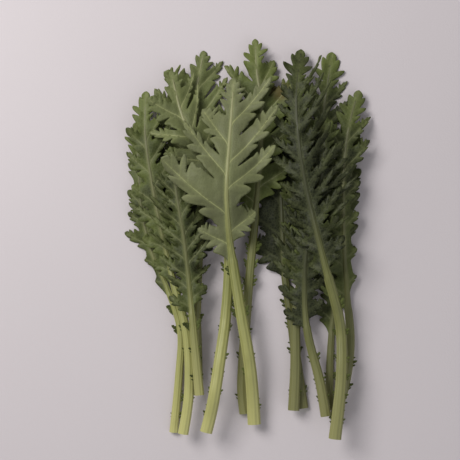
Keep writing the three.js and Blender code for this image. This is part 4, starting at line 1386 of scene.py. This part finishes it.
def vein_piece(stem):
    lines = []
    for line, strong in stem["veins"]:
        if strong:
            radius, every = np.linspace(*VEIN_RADIUS, len(line)), np.ones(len(line))
            raised = raise_line(stem, line, VEIN_LIFT)
            lines.append((raised, radius, VEIN_PLACE * every, stem["rib_tones"][1] * every))
    veins = grow("veins", line_mesh("veins", lines), sweep, {"Material": midrib, **VEIN_SIZES})
    return add_object("veins", veins)


def join(pieces, name):
    with bpy.context.temp_override(active_object=pieces[0], object=pieces[0],
                                   selected_editable_objects=pieces, selected_objects=pieces):
        bpy.ops.object.join()
    pieces[0].name = pieces[0].data.name = name
    return pieces[0]


for name, stem in STEMS.items():
    ears = grow("ears", ear_points(stem), plant_ears, {"Material": upper_finish, "Ear": ear})
    parts = [blades[name], stalk_piece(stem), vein_piece(stem), add_object("ears", ears)]
    piece = join(parts, "leafy_stem_" + name + "_fine")
    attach(piece, "root")
    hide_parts("leafy_stem_" + name)
    print(f"{piece.name}: {len(piece.data.polygons)} faces")
bpy.data.objects.remove(ear)

# %% [markdown]
# Floor and light
#
# The bunch lies on a plain pale floor, like smooth paper. One large soft light stands at the upper
# left as a window would, a weaker one opposite keeps the shadows open, and a little light comes
# from all round.

# %% Set the stage
FLOOR_REACH = 3  # metres from the middle to each edge


def add_light(name, place, size, energy, tint):
    lamp = bpy.data.lights.new(name, "AREA")
    lamp.energy, lamp.size, lamp.color = energy, size, tint
    carrier = add_object(name, lamp)
    carrier.location = place
    carrier.rotation_euler = (-Vector(place)).to_track_quat("-Z", "Y").to_euler()


def floor_finish():
    bench = finish_bench("floor_paper")
    cloudy = noise_on(bench, scale=3, detail=3)
    base = blend(bench, cloudy, (196, 189, 192), (206, 199, 202))
    return close_finish(bench, base, 0.6 + cloudy * 0.1, noise_on(bench, scale=900), FLOOR_RELIEF)


corners = [(x * FLOOR_REACH, y * FLOOR_REACH, 0) for x, y in ((-1, -1), (1, -1), (1, 1), (-1, 1))]
floor = add_object("floor", new_mesh("floor", corners, [], [(0, 1, 2, 3)]))
floor.data.materials.append(floor_finish())

add_light("window", place=(-0.5, 0.4, 0.7), size=0.5, energy=8, tint=(1.0, 0.985, 0.96))
add_light("fill", place=(0.6, -0.5, 0.7), size=0.9, energy=1.5, tint=(0.95, 0.97, 1.0))
world = bpy.data.worlds.new("room")
scene.world = world
world.use_nodes = True
room_light = world.node_tree.nodes["Background"].inputs
room_light["Color"].default_value = (0.93, 0.93, 0.95, 1)
room_light["Strength"].default_value = 0.32
scene.view_settings.view_transform = "Standard"
print("floor and", len(bpy.data.lights), "lights are set")

# %% [markdown]
# The camera
#
# The camera looks down on the bunch from sixty centimetres, which is about as high as a phone is held
# over a table. It leans a few degrees from overhead, towards the right. The point that it looks at is
# given in the plan, so that it stays with the bunch.

# %% Aim the camera
LENS, SENSOR = 81.3, 36  # mm
DISTANCE, LEAN, LEAN_TOWARD = 600, 5, 65  # mm, degrees from overhead, and degrees from -Y towards +X
AIM, AIM_HEIGHT = (-8.25, 2.5), 10  # mm, the point of the plan in the middle of the picture
ROLL = -0.24  # degrees
CLIP = 0.01, 20  # metres
aim = Vector((*(AIM + SHIFT), AIM_HEIGHT)) * MM
lean, toward, roll = (math.radians(angle) for angle in (LEAN, LEAN_TOWARD, ROLL))
back = Vector((math.sin(lean) * math.sin(toward), -math.sin(lean) * math.cos(toward), math.cos(lean)))
up = Vector((math.sin(roll), math.cos(roll), 0))
right = up.cross(back).normalized()
camera_data = bpy.data.cameras.new("camera")
camera_data.lens, camera_data.sensor_width = LENS, SENSOR
camera_data.clip_start, camera_data.clip_end = CLIP
camera = add_object("camera", camera_data)
camera.location = aim + back * DISTANCE * MM
camera.rotation_euler = Matrix((right, back.cross(right), back)).transposed().to_euler()
scene.camera = camera
print("camera at", [round(c / MM) for c in camera.location], "mm")

# %% [markdown]
# Sizes
#
# Dressing a model must not make it grow.
